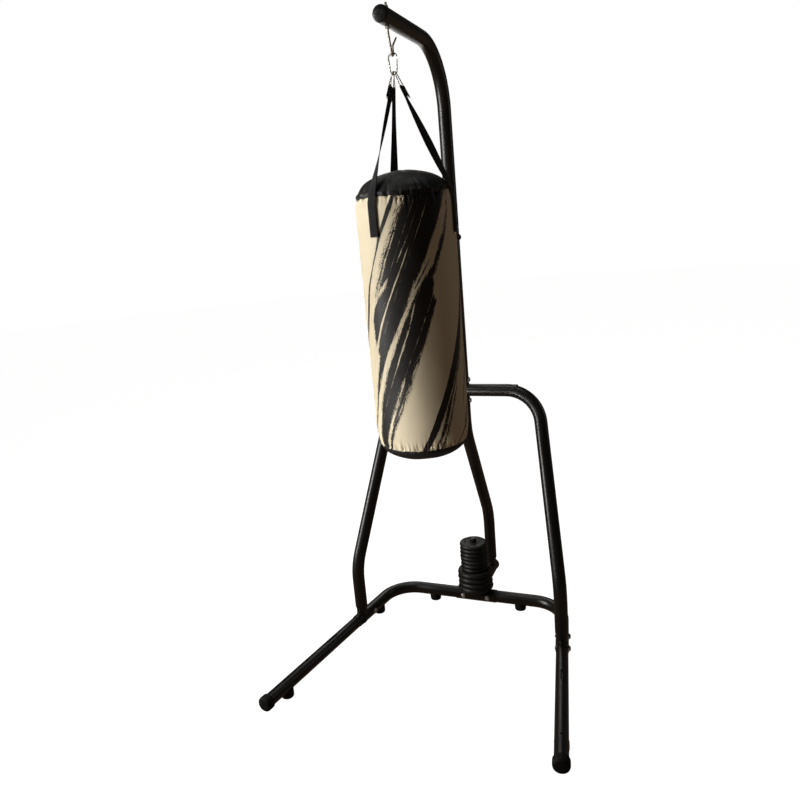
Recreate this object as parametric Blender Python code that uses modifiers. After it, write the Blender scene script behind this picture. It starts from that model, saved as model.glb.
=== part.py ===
"""Punching bag on a free-standing tube stand.

Metres, +Z up. The origin is on the floor, in the middle of the stand's footprint.
The stand opens to the front, towards -Y, and is symmetric left to right. The bag hangs
from the arm by a hook, a snap hook and three rings, and plates on a spindle hold the base down.
"""

import math

import bmesh
import bpy
from mathutils import Matrix, Vector

# Round bars and tubes. A fitted piece keeps GAP to its neighbour.
GAP = 0.0003
TUBE_R = 0.02325
BORE_R = 0.02165
SPIGOT_R = 0.0205
SPIGOT_BORE_R = 0.0188
FRONT_TUBE_R = 0.0213
FRONT_BORE_R = 0.0197
SLEEVE_R = 0.0254
SLEEVE_BORE_R = 0.0236
BAR_SIDES = 12
BOLT_SIDES = 8
HOLE_PHASE = 7
CURVE_RESOLUTION = 4

# Floor frame
FLOOR_TUBE_Z = 0.042
REAR_TUBE_Y = 0.285
REAR_CORNER_X = 0.3437
REAR_BEND_R = 0.122
LEG_FOOT = Vector((0.387, 0.017, FLOOR_TUBE_Z))
FRONT_END = Vector((0.4775, -0.545, FLOOR_TUBE_Z))
SOCKET_REACH = 0.037
FRONT_TUBE_INSET = 0.110
SLEEVE_HALF = 0.082
SLEEVE_BOLT_X = 0.050
STUB_END_Y = 0.5466
STUB_FOOT_Y = 0.390

# Legs, crossbar, mast and arm
LEG_BEND_Z = 0.259
CROSSBAR_Y = 0.289
CROSSBAR_Z = 0.894
CROSSBAR_CORNER_X = 0.280
CROSSBAR_HALF = 0.157
CROSSBAR_BEND_R = 0.135
LEG_BEND_R = 0.250
TUBE_START_Z = 0.090
SOCKET_TOP_Z = 0.157
MAST_FOOT_Y = 0.525
MAST_BEND_LOW_Z = 0.299
MAST_BEND_HIGH_Z = 0.732
MAST_BEND_R = 0.200
MAST_JOINT_Z = 1.492
ARM_Z = 2.079
ARM_END_Y = -0.222
ARM_BEND_R = 0.195
HUB_SPIGOT = 0.090
SWAGE = 0.070
HUB_BOLT_OFFSET = 0.040

# Bolts
SHANK_R = 0.004
HOLE_R = 0.0047
HEAD_R = 0.0092
HEAD_HEIGHT = 0.006
NUT_R = 0.0075
NUT_HEIGHT = 0.0065

# Feet and caps
FOOT_TOP_R = 0.0225
FOOT_BOTTOM_R = 0.0205
CAP_R = 0.026
CAP_LENGTH = 0.030
CAP_FACE = 0.012
REAR_COLLAR = 0.007

# Hanging point: hook, snap hook and rings
BAG_Y = -0.156
STEM_Y = -0.176
HOOK_R = 0.0035
HOOK_BEND_R = 0.0065
HOOK_PIVOT_Z = 1.984
HOOK_TOP_Z = 2.118
SNAP_R = 0.0025
SNAP_TOP_R = 0.0133
SNAP_BOTTOM_R = 0.010
SNAP_LENGTH = 0.057
SNAP_TOP_Z = HOOK_PIVOT_Z + HOOK_R + SNAP_R + 0.0005
SNAP_BOTTOM_Z = SNAP_TOP_Z - SNAP_LENGTH
GATE_R = 0.0021
GATE_PIVOT_Z = SNAP_BOTTOM_Z + 0.0135
GATE_TOP_Z = HOOK_PIVOT_Z - 0.011
RING_R = 0.00175
RING_ARCH_R = 0.0064
RING_CORNER_R = 0.004
RING_HALF = 0.0165
RING_LENGTH = 0.046
RING_SPACING = 0.0039

# Bag
BAG_R = 0.1485
BAG_BOTTOM_Z = 0.790
BAG_LOW_SEAM_Z = 0.844
BAG_HIGH_SEAM_Z = 1.596
BAG_TOP_Z = 1.671
HIGH_SEAM_R = 0.1425
LOW_SEAM_R = 0.1385
SKIN = 0.003
BAG_STEPS = 24

# Straps: compass direction of each on the bag, its swell of twist halfway, and its end's height
STRAPS = {
    "right": (math.radians(3.5), math.radians(32), 1.482),
    "rear": (math.radians(123.5), 0, 1.485),
    "left": (math.radians(-107), 0, 1.488),
}
STRAP_WIDTH = 0.029
LOOP_WIDTH = 0.024
STRAP_THICK = 0.0018

# Weight plates
PLATE_STEPS = 16
PLATE_BORE_R = 0.0140
SPINDLE_R = 0.0125
SPINDLE_TOP_Z = 0.290
FLANGE_R = 0.040
STACK_Z = 0.0735
LARGE_PLATES = 4
LARGE_R = 0.069
LARGE_THICK = 0.0213
SMALL_PLATES = 7
SMALL_R = 0.055
SMALL_THICK = 0.0160

UP = Vector((0, 0, 1))
RIGHT = Vector((1, 0, 0))
BACK = Vector((0, 1, 0))


def clear_scene():
    for old in list(bpy.data.objects):
        bpy.data.objects.remove(old, do_unlink=True)


clear_scene()
parts = bpy.data.collections.new("punching_bag_on_stand")
cutters = bpy.data.collections.new("cutters")
bpy.context.scene.collection.children.link(parts)
bpy.context.scene.collection.children.link(cutters)


def material(name, colour, roughness, metallic):
    made = bpy.data.materials.new(name)
    made.use_nodes = True
    shader = made.node_tree.nodes["Principled BSDF"]
    shader.inputs["Base Color"].default_value = (*colour, 1)
    shader.inputs["Roughness"].default_value = roughness
    shader.inputs["Metallic"].default_value = metallic
    return made


BLACK_PAINT = material("black_paint", (0.020, 0.019, 0.018), 0.35, 0.0)
ZINC = material("zinc_steel", (0.72, 0.72, 0.70), 0.28, 1.0)
RUBBER = material("black_rubber", (0.018, 0.018, 0.018), 0.75, 0.0)
PLASTIC = material("black_plastic", (0.022, 0.023, 0.023), 0.50, 0.0)
PRINTED_SKIN = material("printed_skin", (0.78, 0.68, 0.50), 0.50, 0.0)
VINYL = material("black_vinyl", (0.025, 0.024, 0.023), 0.45, 0.0)
WEBBING = material("black_webbing", (0.022, 0.023, 0.027), 0.80, 0.0)
PLATE_VINYL = material("plate_vinyl", (0.045, 0.047, 0.038), 0.45, 0.0)
FILLING = material("textile_filling", (0.45, 0.43, 0.40), 0.95, 0.0)


def add_object(name, data, finish=None, collection=parts):
    made = bpy.data.objects.new(name, data)
    collection.objects.link(made)
    if finish:
        data.materials.append(finish)
    return made


def hide_helper(helper):
    helper.hide_render = True
    helper.display_type = "WIRE"
    return helper


def shade(made):
    made.data.shade_smooth()
    made.data.set_sharp_from_angle(angle=math.radians(35))
    return made


def carve(body, *tools):
    for tool in tools:
        cut = body.modifiers.new("cut_" + tool.name, "BOOLEAN")
        cut.operation = "DIFFERENCE"
        cut.object = tool


def join(body, *others):
    for other in others:
        weld = body.modifiers.new("join_" + other.name, "BOOLEAN")
        weld.operation = "UNION"
        weld.object = other


def rounded_route(corners, radii, steps, cyclic=False):
    """Points along straight runs through the corners, with an arc of each radius at the inner ones."""
    count = len(corners)
    route = []
    if isinstance(steps, int):
        steps = [steps] * count
    for index, corner in enumerate(corners):
        radius = radii[index]
        if not radius:
            route.append(corner.copy())
            continue
        before = (corner - corners[index - 1]).normalized()
        after = (corners[(index + 1) % count] - corner).normalized()
        turn = before.angle(after)
        centre = corner + (after - before).normalized() * radius / math.cos(turn / 2)
        start = corner - before * radius * math.tan(turn / 2)
        for step in range(steps[index] + 1):
            angle = turn * step / steps[index]
            route.append(centre + (start - centre) * math.cos(angle) + before * radius * math.sin(angle))
    return route


def swept(name, route, radius, finish=None, collection=parts, cyclic=False, resolution=CURVE_RESOLUTION):
    """A round bar along a route, as a mesh with welded end caps."""
    curve = bpy.data.curves.new(name + "_route", "CURVE")
    curve.dimensions = "3D"
    curve.bevel_depth = radius
    curve.bevel_resolution = resolution
    curve.use_fill_caps = not cyclic
    spline = curve.splines.new("POLY")
    spline.points.add(len(route) - 1)
    for point, place in zip(spline.points, route):
        point.co = (*place, 1)
    spline.use_cyclic_u = cyclic
    guide = bpy.data.objects.new(name + "_route", curve)
    bpy.context.scene.collection.objects.link(guide)
    graph = bpy.context.evaluated_depsgraph_get()
    mesh = bpy.data.meshes.new_from_object(guide.evaluated_get(graph))
    bpy.data.objects.remove(guide)
    shape = bmesh.new()
    shape.from_mesh(mesh)
    bmesh.ops.remove_doubles(shape, verts=shape.verts, dist=1e-6)
    shape.to_mesh(mesh)
    shape.free()
    mesh.name = name
    mesh.materials.clear()
    return shade(add_object(name, mesh, finish, collection))


def bar(name, start, end, radius, finish=None, collection=parts, sides=BAR_SIDES, end_radius=None):
    """A straight round bar, or a cone with end_radius, from start to end."""
    run = end - start
    mesh = bpy.data.meshes.new(name)
    shape = bmesh.new()
    bmesh.ops.create_cone(
        shape,
        cap_ends=True,
        segments=sides,
        radius1=radius,
        radius2=radius if end_radius is None else end_radius,
        depth=run.length,
    )
    shape.to_mesh(mesh)
    shape.free()
    made = add_object(name, mesh, finish, collection)
    made.location = (start + end) / 2
    made.rotation_mode = "QUATERNION"
    made.rotation_quaternion = run.to_track_quat("Z", "Y")
    return shade(made)


def cut_bar(name, start, end, radius, sides=BAR_SIDES):
    return hide_helper(bar(name, start, end, radius, None, cutters, sides))


def drill(name, start, end, radius, sides=BOLT_SIDES):
    """A cross hole's cutter, turned a little so that its corners miss the edges of the tube."""
    cutter = cut_bar(name, start, end, radius, sides)
    cutter.data.transform(Matrix.Rotation(math.radians(HOLE_PHASE), 4, "Z"))
    return cutter


def cut_swept(name, route, radius):
    return hide_helper(swept(name, route, radius, None, cutters))


def turned(name, profile, finish, steps, closed=False, collection=parts):
    """A turned shape: profile points are (radius, height), down the outer side from the top."""
    mesh = bpy.data.meshes.new(name)
    points = [(radius, 0, height) for radius, height in profile]
    edges = [(index, index + 1) for index in range(len(points) - 1)]
    if closed:
        edges.append((len(points) - 1, 0))
    mesh.from_pydata(points, edges, [])
    made = add_object(name, mesh, finish, collection)
    spin = made.modifiers.new("spin", "SCREW")
    spin.steps = steps
    spin.render_steps = steps
    spin.use_merge_vertices = True
    spin.merge_threshold = 0.00001
    return made


def aim(made, place, direction):
    made.location = place
    made.rotation_mode = "QUATERNION"
    made.rotation_quaternion = direction.to_track_quat("Z", "Y")
    return made


def on_side(point, side):
    """The point mirrored to the left for side -1, or kept for +1."""
    return Vector((point.x * side, point.y, point.z))


SIDES = {"left": -1, "right": 1}
FLOOR_RUN = (FRONT_END - LEG_FOOT).normalized()


def through_bolt(name, place, direction, radius):
    """A domed bolt across a tube of this radius, with its nut on the far side."""
    near = radius + GAP
    far = -radius - GAP
    profile = [
        (0, near + HEAD_HEIGHT),
        (HEAD_R * 0.65, near + HEAD_HEIGHT * 0.85),
        (HEAD_R, near + HEAD_HEIGHT * 0.3),
        (HEAD_R, near),
        (SHANK_R, near),
        (SHANK_R, far - NUT_HEIGHT - 0.004),
        (0, far - NUT_HEIGHT - 0.004),
    ]
    bolt = aim(turned(name, profile, ZINC, BOLT_SIDES), place, direction)
    nut_near = place + direction * far
    nut_far = place + direction * (far - NUT_HEIGHT)
    join(bolt, hide_helper(bar(name + "_nut", nut_far, nut_near, NUT_R, None, cutters, 6)))
    reach = direction * (radius + 0.02)
    return drill(name + "_hole", place - reach, place + reach, HOLE_R)


def foot(name, place, along, radius):
    """A rubber foot on the floor, saddled to the floor tube above it."""
    base = Vector((place.x, place.y, 0))
    top = base + UP * (FLOOR_TUBE_Z - radius * 0.45)
    made = bar(name, base, top, FOOT_BOTTOM_R, RUBBER, parts, 16, FOOT_TOP_R)
    seat = Vector((place.x, place.y, FLOOR_TUBE_Z))
    carve(made, cut_bar(name + "_seat", seat - along * 0.05, seat + along * 0.05, radius + 3 * GAP, 16))
    return made


def plug(name, place, outward, radius, bore, collar=0.0):
    """A push-in end plug with a low domed face on its collar."""
    profile = [
        (0, collar + 0.0045),
        (radius * 0.8, collar + 0.0036),
        (radius, collar + 0.0010),
        (radius, GAP),
        (bore * 0.94, GAP),
        (bore * 0.90, -0.018),
        (0, -0.018),
    ]
    return shade(aim(turned(name, profile, PLASTIC, 16), place, outward))


def make_floor_frame():
    rear_z = FLOOR_TUBE_Z
    middle = Vector((0, REAR_TUBE_Y, rear_z))
    sleeve_holes = []
    for label, side in SIDES.items():
        bolt_place = middle + RIGHT * SLEEVE_BOLT_X * side
        sleeve_holes.append(through_bolt(f"sleeve_bolt_{label}", bolt_place, -BACK, SLEEVE_R))

    for number, (label, side) in enumerate(SIDES.items()):
        run = on_side(FLOOR_RUN, side)
        across = Vector((-run.y, run.x, 0)) * side
        leg_place = on_side(LEG_FOOT, side)
        start = Vector((0.0004 * side, REAR_TUBE_Y, rear_z))
        corner = on_side(Vector((REAR_CORNER_X, REAR_TUBE_Y, rear_z)), side)
        socket_end = leg_place + run * SOCKET_REACH
        route = rounded_route([start, corner, socket_end], [0, REAR_BEND_R, 0], 6)
        rear = swept(f"rear_floor_tube_{label}", route, TUBE_R, BLACK_PAINT)
        spigot_top = Vector((leg_place.x, leg_place.y, SOCKET_TOP_Z))
        join(rear, hide_helper(bar(f"leg_spigot_{label}", leg_place, spigot_top, SPIGOT_R, None, cutters)))
        long_route = [start - RIGHT * 0.002 * side, *route[1:-1], socket_end + run * 0.002]
        carve(rear, cut_swept(f"rear_bore_{label}", long_route, BORE_R))
        carve(rear, cut_bar(f"leg_spigot_bore_{label}", leg_place, spigot_top + UP * 0.002, SPIGOT_BORE_R))

        front_start = socket_end - run * FRONT_TUBE_INSET
        front_end = on_side(FRONT_END, side)
        front = swept(f"front_floor_tube_{label}", [front_start, front_end], FRONT_TUBE_R, BLACK_PAINT)
        carve(front, cut_swept(f"front_bore_{label}", [front_start - run * 0.002, front_end + run * 0.002], FRONT_BORE_R))
        slot_ends = [leg_place + run * reach for reach in (0.160, 0.215)]
        for end, reach in enumerate(slot_ends):
            carve(front, drill(f"slot_{label}_{end}", reach, reach + UP * 0.03, 0.006))
        pin_hole = leg_place + run * 0.460
        carve(front, drill(f"pin_hole_{label}", pin_hole, pin_hole + UP * 0.03, 0.004))

        outer = through_bolt(f"front_joint_bolt_{label}", leg_place + run * 0.020, across, TUBE_R)
        inner = through_bolt(f"rear_joint_bolt_{label}", leg_place - run * 0.054, -across, TUBE_R)
        carve(rear, outer, inner, sleeve_holes[number])
        carve(front, outer, inner)

        cap_profile = [
            (0, CAP_FACE),
            (CAP_R * 0.70, CAP_FACE * 0.86),
            (CAP_R, CAP_FACE * 0.3),
            (CAP_R, CAP_FACE - CAP_LENGTH),
            (FRONT_TUBE_R + 0.0009, CAP_FACE - CAP_LENGTH),
            (FRONT_TUBE_R + 0.0009, 2 * GAP),
            (0, 2 * GAP),
        ]
        shade(aim(turned(f"front_cap_{label}", cap_profile, RUBBER, 16), front_end, run))

        foot(f"rear_foot_{label}", Vector((0.178 * side, REAR_TUBE_Y, 0)), RIGHT, TUBE_R)
        foot(f"side_foot_{label}", leg_place - run * 0.118, run, TUBE_R)
        foot(f"front_foot_{label}", front_end - run * 0.105, run, FRONT_TUBE_R)
    return sleeve_holes


def make_centre_bracket(sleeve_holes):
    """Sleeve over both rear tubes, with the rear stub, the mast's spigot and the weight boss welded on."""
    middle = Vector((0, REAR_TUBE_Y, FLOOR_TUBE_Z))
    stub_end = Vector((0, STUB_END_Y, FLOOR_TUBE_Z))
    mast_foot = Vector((0, MAST_FOOT_Y, FLOOR_TUBE_Z))
    reach = RIGHT * SLEEVE_HALF
    bracket = swept("centre_bracket", [middle - reach, middle + reach], SLEEVE_R, BLACK_PAINT)
    stub = hide_helper(bar("stub", middle, stub_end, TUBE_R, None, cutters))
    spigot = hide_helper(bar("mast_spigot", mast_foot, mast_foot + UP * 0.115, SPIGOT_R, None, cutters))
    boss = hide_helper(bar("weight_boss", middle, Vector((0, REAR_TUBE_Y, 0.0695)), 0.022, None, cutters, 16))
    join(bracket, stub, spigot, boss)
    bore_reach = RIGHT * (SLEEVE_HALF + 0.002)
    carve(bracket, cut_bar("stub_bore", middle, stub_end + BACK * 0.002, BORE_R))
    carve(bracket, cut_bar("mast_spigot_bore", mast_foot, mast_foot + UP * 0.117, SPIGOT_BORE_R))
    carve(bracket, cut_swept("sleeve_bore", [middle - bore_reach, middle + bore_reach], SLEEVE_BORE_R))
    carve(bracket, *sleeve_holes)
    plug("rear_plug", stub_end, BACK, CAP_R, BORE_R, REAR_COLLAR)
    foot("stub_foot", Vector((0, STUB_FOOT_Y, 0)), BACK, TUBE_R)


def make_legs():
    """Each leg with its upper bend, and the reduced end that enters the crossbar."""
    for label, side in SIDES.items():
        foot_place = on_side(LEG_FOOT, side)
        bottom = Vector((foot_place.x, foot_place.y, TUBE_START_Z))
        knee = Vector((foot_place.x, foot_place.y, LEG_BEND_Z))
        corner = on_side(Vector((CROSSBAR_CORNER_X, CROSSBAR_Y, CROSSBAR_Z)), side)
        top = on_side(Vector((CROSSBAR_HALF + GAP, CROSSBAR_Y, CROSSBAR_Z)), side)
        inward = RIGHT * -side
        corners = [bottom, knee, corner, top]
        route = rounded_route(corners, [0, LEG_BEND_R, CROSSBAR_BEND_R, 0], [0, 2, 6, 0])
        leg = swept(f"leg_{label}", route, TUBE_R, BLACK_PAINT)
        swage = bar(f"leg_swage_{label}", top - inward * 0.010, top + inward * SWAGE, SPIGOT_R, None, cutters)
        join(leg, hide_helper(swage))
        bore_route = [bottom - UP * 0.002, *route[1:-1], top - inward * 0.002]
        carve(leg, cut_swept(f"leg_bore_{label}", bore_route, BORE_R))
        bore_start = top - inward * 0.012
        carve(leg, cut_bar(f"leg_swage_bore_{label}", bore_start, top + inward * (SWAGE + 0.002), SPIGOT_BORE_R))


def make_crossbar():
    """Straight crossbar with the two spigots that carry the lower and upper mast."""
    centre = Vector((0, CROSSBAR_Y, CROSSBAR_Z))
    reach = RIGHT * CROSSBAR_HALF
    crossbar = bar("crossbar", centre - reach, centre + reach, TUBE_R, BLACK_PAINT)
    spigots = bar("hub_spigots", centre - UP * HUB_SPIGOT, centre + UP * HUB_SPIGOT, SPIGOT_R, None, cutters)
    join(crossbar, hide_helper(spigots))
    bore_reach = RIGHT * (CROSSBAR_HALF + 0.002)
    carve(crossbar, cut_bar("crossbar_bore", centre - bore_reach, centre + bore_reach, BORE_R))
    spigot_reach = UP * (HUB_SPIGOT + 0.002)
    carve(crossbar, cut_bar("hub_bore", centre - spigot_reach, centre + spigot_reach, SPIGOT_BORE_R))
    holes = []
    for label, rise in (("lower", -HUB_BOLT_OFFSET), ("upper", HUB_BOLT_OFFSET)):
        holes.append(through_bolt(f"hub_bolt_{label}", centre + UP * rise, RIGHT, TUBE_R))
    carve(crossbar, *holes)
    return holes


def make_mast_and_arm(hub_holes):
    lower_hole, upper_hole = hub_holes
    hub_clear = TUBE_R + 0.0015
    foot_start = Vector((0, MAST_FOOT_Y, TUBE_START_Z))
    low_bend = Vector((0, MAST_FOOT_Y, MAST_BEND_LOW_Z))
    high_bend = Vector((0, CROSSBAR_Y, MAST_BEND_HIGH_Z))
    under_hub = Vector((0, CROSSBAR_Y, CROSSBAR_Z - hub_clear))
    over_hub = Vector((0, CROSSBAR_Y, CROSSBAR_Z + hub_clear))
    radii = [0, MAST_BEND_R, MAST_BEND_R, 0]
    route = rounded_route([foot_start, low_bend, high_bend, under_hub], radii, 3)
    lower = swept("lower_mast", route, TUBE_R, BLACK_PAINT)
    carve(lower, cut_swept("lower_mast_bore", [route[0] - UP * 0.002, *route[1:-1], under_hub + UP * 0.002], BORE_R))
    carve(lower, lower_hole)

    joint = Vector((0, CROSSBAR_Y, MAST_JOINT_Z))
    joint_hole = through_bolt("arm_joint_bolt", joint - UP * 0.035, RIGHT, TUBE_R)
    upper = bar("upper_mast", over_hub, joint - UP * GAP, TUBE_R, BLACK_PAINT)
    carve(upper, cut_bar("upper_mast_bore", over_hub - UP * 0.002, joint + UP * 0.002, BORE_R))
    carve(upper, upper_hole, joint_hole)

    arm_corner = Vector((0, CROSSBAR_Y, ARM_Z))
    arm_end = Vector((0, ARM_END_Y, ARM_Z))
    arm_route = rounded_route([joint, arm_corner, arm_end], [0, ARM_BEND_R, 0], 8)
    arm = swept("arm", arm_route, TUBE_R, BLACK_PAINT)
    swage = bar("arm_swage", joint - UP * SWAGE, joint + UP * 0.010, SPIGOT_R, None, cutters)
    join(arm, hide_helper(swage))
    carve(arm, cut_swept("arm_bore", [joint + UP * 0.002, *arm_route[1:-1], arm_end - BACK * 0.002], BORE_R))
    carve(arm, cut_bar("arm_swage_bore", joint - UP * (SWAGE + 0.002), joint + UP * 0.012, SPIGOT_BORE_R))
    carve(arm, joint_hole)
    stem = Vector((0, STEM_Y, ARM_Z))
    carve(arm, drill("hook_hole", stem - UP * 0.04, stem + UP * 0.04, HOOK_R + 0.0006))
    plug("arm_plug", arm_end, -BACK, TUBE_R, BORE_R)


def make_hook():
    """Hook through the arm, leaning back to a narrow open bend, with a nut above and below the arm."""
    low = HOOK_PIVOT_Z
    corners = [
        Vector((0, STEM_Y, HOOK_TOP_Z)),
        Vector((0, STEM_Y, ARM_Z - TUBE_R - 0.012)),
        Vector((0, BAG_Y - HOOK_BEND_R, low + 0.010)),
        Vector((0, BAG_Y - HOOK_BEND_R, low)),
        Vector((0, BAG_Y + HOOK_BEND_R, low)),
        Vector((0, BAG_Y + HOOK_BEND_R, low + 0.026)),
        Vector((0, BAG_Y + 0.040, low + 0.054)),
    ]
    bend = HOOK_BEND_R * 0.98
    route = rounded_route(corners, [0, 0.020, 0.012, bend, bend, 0.012, 0], [0, 1, 1, 4, 4, 2, 0])
    swept("bag_hook", route, HOOK_R, ZINC, resolution=2)
    for name, height, outward in (("hook_top_nut", ARM_Z + TUBE_R, UP), ("hook_lower_nut", ARM_Z - TUBE_R, -UP)):
        start = Vector((0, STEM_Y, height)) + outward * 2 * GAP
        nut = bar(name, start, start + outward * NUT_HEIGHT, NUT_R, ZINC, parts, 6)
        carve(nut, cut_bar(name + "_bore", start - outward * 0.002, start + outward * 0.01, HOOK_R + 0.0006))


def make_snap_hook():
    """Pear-shaped snap hook, wide end up: an open frame, and a sprung gate on its right side."""
    top_centre = SNAP_TOP_Z - SNAP_TOP_R
    bottom_centre = SNAP_BOTTOM_Z + SNAP_BOTTOM_R

    def around(centre_z, radius, angle):
        return Vector((radius * math.sin(angle), BAG_Y, centre_z + radius * math.cos(angle)))

    frame_route = [around(top_centre, SNAP_TOP_R, math.radians(angle)) for angle in range(70, -91, -20)]
    frame_route += [around(bottom_centre, SNAP_BOTTOM_R, math.radians(angle)) for angle in range(-90, -261, -20)]
    swept("snap_hook", frame_route, SNAP_R, ZINC, resolution=3)
    pivot = Vector((SNAP_BOTTOM_R + 0.0005, BAG_Y, GATE_PIVOT_Z))
    tip = Vector((SNAP_TOP_R - 0.0005, BAG_Y, GATE_TOP_Z))
    gate = swept("snap_hook_gate", [pivot + (tip - pivot) * 0.02, tip], GATE_R, ZINC, resolution=2)
    pin_reach = BACK * 0.0034
    pin_hole = cut_bar("gate_pin_hole", pivot - pin_reach * 2, pivot + pin_reach * 2, 0.0011, 8)
    eye = hide_helper(bar("gate_eye", pivot - BACK * 0.0018, pivot + BACK * 0.0018, 0.0026, None, cutters, 12))
    join(gate, eye)
    carve(gate, pin_hole)
    bar("gate_pin", pivot - pin_reach, pivot + pin_reach, 0.0008, ZINC, parts, 8)


def ring_top(label):
    offset = {"right": RING_SPACING, "left": 0, "rear": -RING_SPACING}[label]
    lift = SNAP_BOTTOM_R - math.sqrt(SNAP_BOTTOM_R**2 - offset**2)
    return Vector((offset, BAG_Y, SNAP_BOTTOM_Z + lift + SNAP_R + RING_R + 0.0015))


def rim_point(azimuth):
    """Where a strap meets the rim of the bag, at its top seam."""
    reach = HIGH_SEAM_R + 0.0022
    return Vector((math.cos(azimuth) * reach, BAG_Y + math.sin(azimuth) * reach, BAG_HIGH_SEAM_Z + 0.012))


def ring_axes(label):
    """Unit vectors of a ring: down its length, in line with its strap, and along its straight lower side."""
    down = (rim_point(STRAPS[label][0]) - ring_top(label)).normalized()
    across = (BACK - down * BACK.dot(down)).normalized()
    return down, across


def make_rings():
    for label in STRAPS:
        down, across = ring_axes(label)
        top = ring_top(label)
        apex_half = RING_ARCH_R * 0.95
        corners = [
            top - across * apex_half,
            top + across * apex_half,
            top + down * RING_LENGTH + across * RING_HALF,
            top + down * RING_LENGTH - across * RING_HALF,
        ]
        radii = [RING_ARCH_R * 0.62, RING_ARCH_R * 0.62, RING_CORNER_R, RING_CORNER_R]
        route = rounded_route(corners, radii, 3, cyclic=True)
        swept(f"strap_ring_{label}", route, RING_R, ZINC, cyclic=True, resolution=1)


def ribbon(name, sections, finish):
    """A flat strap: each section is its centre, the way its width runs, its outward normal and its width."""
    mesh = bpy.data.meshes.new(name)
    shape = bmesh.new()
    loops = []
    for centre, wide, normal, width in sections:
        half = wide * width / 2
        thick = normal * STRAP_THICK / 2
        corners = (centre - half - thick, centre + half - thick, centre + half + thick, centre - half + thick)
        loops.append([shape.verts.new(corner) for corner in corners])
    for near, far in zip(loops, loops[1:]):
        for side in range(4):
            after = (side + 1) % 4
            shape.faces.new((near[side], near[after], far[after], far[side]))
    shape.faces.new(loops[0][::-1])
    shape.faces.new(loops[-1])
    bmesh.ops.recalc_face_normals(shape, faces=shape.faces)
    bmesh.ops.triangulate(shape, faces=shape.faces)
    shape.to_mesh(mesh)
    shape.free()
    return add_object(name, mesh, finish)


def make_straps():
    """Each strap loops round its ring, runs to the rim of the bag and lies down its side."""
    standoff = BAG_R + GAP + STRAP_THICK / 2 + 0.0006
    for label, (azimuth, swell, end_z) in STRAPS.items():
        outward = Vector((math.cos(azimuth), math.sin(azimuth), 0))
        tangent = Vector((-math.sin(azimuth), math.cos(azimuth), 0))
        down, across = ring_axes(label)
        if across.dot(tangent) < 0:
            tangent = -tangent
        axis = Vector((0, BAG_Y, 0))
        bar_place = ring_top(label) + down * RING_LENGTH
        outer = down.cross(across)
        if outer.dot(outward) < 0:
            outer = -outer
        loop_r = RING_R + GAP + STRAP_THICK / 2 + 0.0003
        sections = []
        for reach in (0.030, 0.012, 0.0):
            sections.append((bar_place + outer * loop_r + down * reach, across, outer, LOOP_WIDTH))
        for angle in (45, 90, 135, 180):
            turn = math.radians(angle)
            normal = outer * math.cos(turn) - down * math.sin(turn)
            sections.append((bar_place + normal * loop_r, across, normal, LOOP_WIDTH))
        start = bar_place - outer * loop_r + down * 0.012
        sections.append((start, across, -outer, LOOP_WIDTH))
        start = bar_place - outer * (loop_r - 0.0002) + down * 0.036
        rim = rim_point(azimuth) + outward * 0.0004
        run = (rim - start).normalized()
        steps = 8
        for step in range(steps + 1):
            part = step / steps
            place = start.lerp(rim, part)
            wide = across.slerp(tangent, part**1.8)
            wide = Matrix.Rotation(swell * math.sin(math.pi * part), 3, run) @ wide
            wide = (wide - run * wide.dot(run)).normalized()
            normal = wide.cross(run)
            if sections[-1][2].dot(normal) < 0:
                normal = -normal
            width = LOOP_WIDTH + (STRAP_WIDTH - LOOP_WIDTH) * min(1, part * 2)
            sections.append((place, wide, normal, width))
        inward = -outward
        lay = (
            (HIGH_SEAM_R + 0.0030, BAG_HIGH_SEAM_Z),
            (standoff - 0.0014, BAG_HIGH_SEAM_Z - 0.010),
            (standoff, BAG_HIGH_SEAM_Z - 0.026),
            (standoff, end_z),
        )
        for reach, height in lay:
            sections.append((axis + outward * reach + UP * height, tangent, inward, STRAP_WIDTH))
        ribbon(f"strap_{label}", sections, WEBBING)


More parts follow.
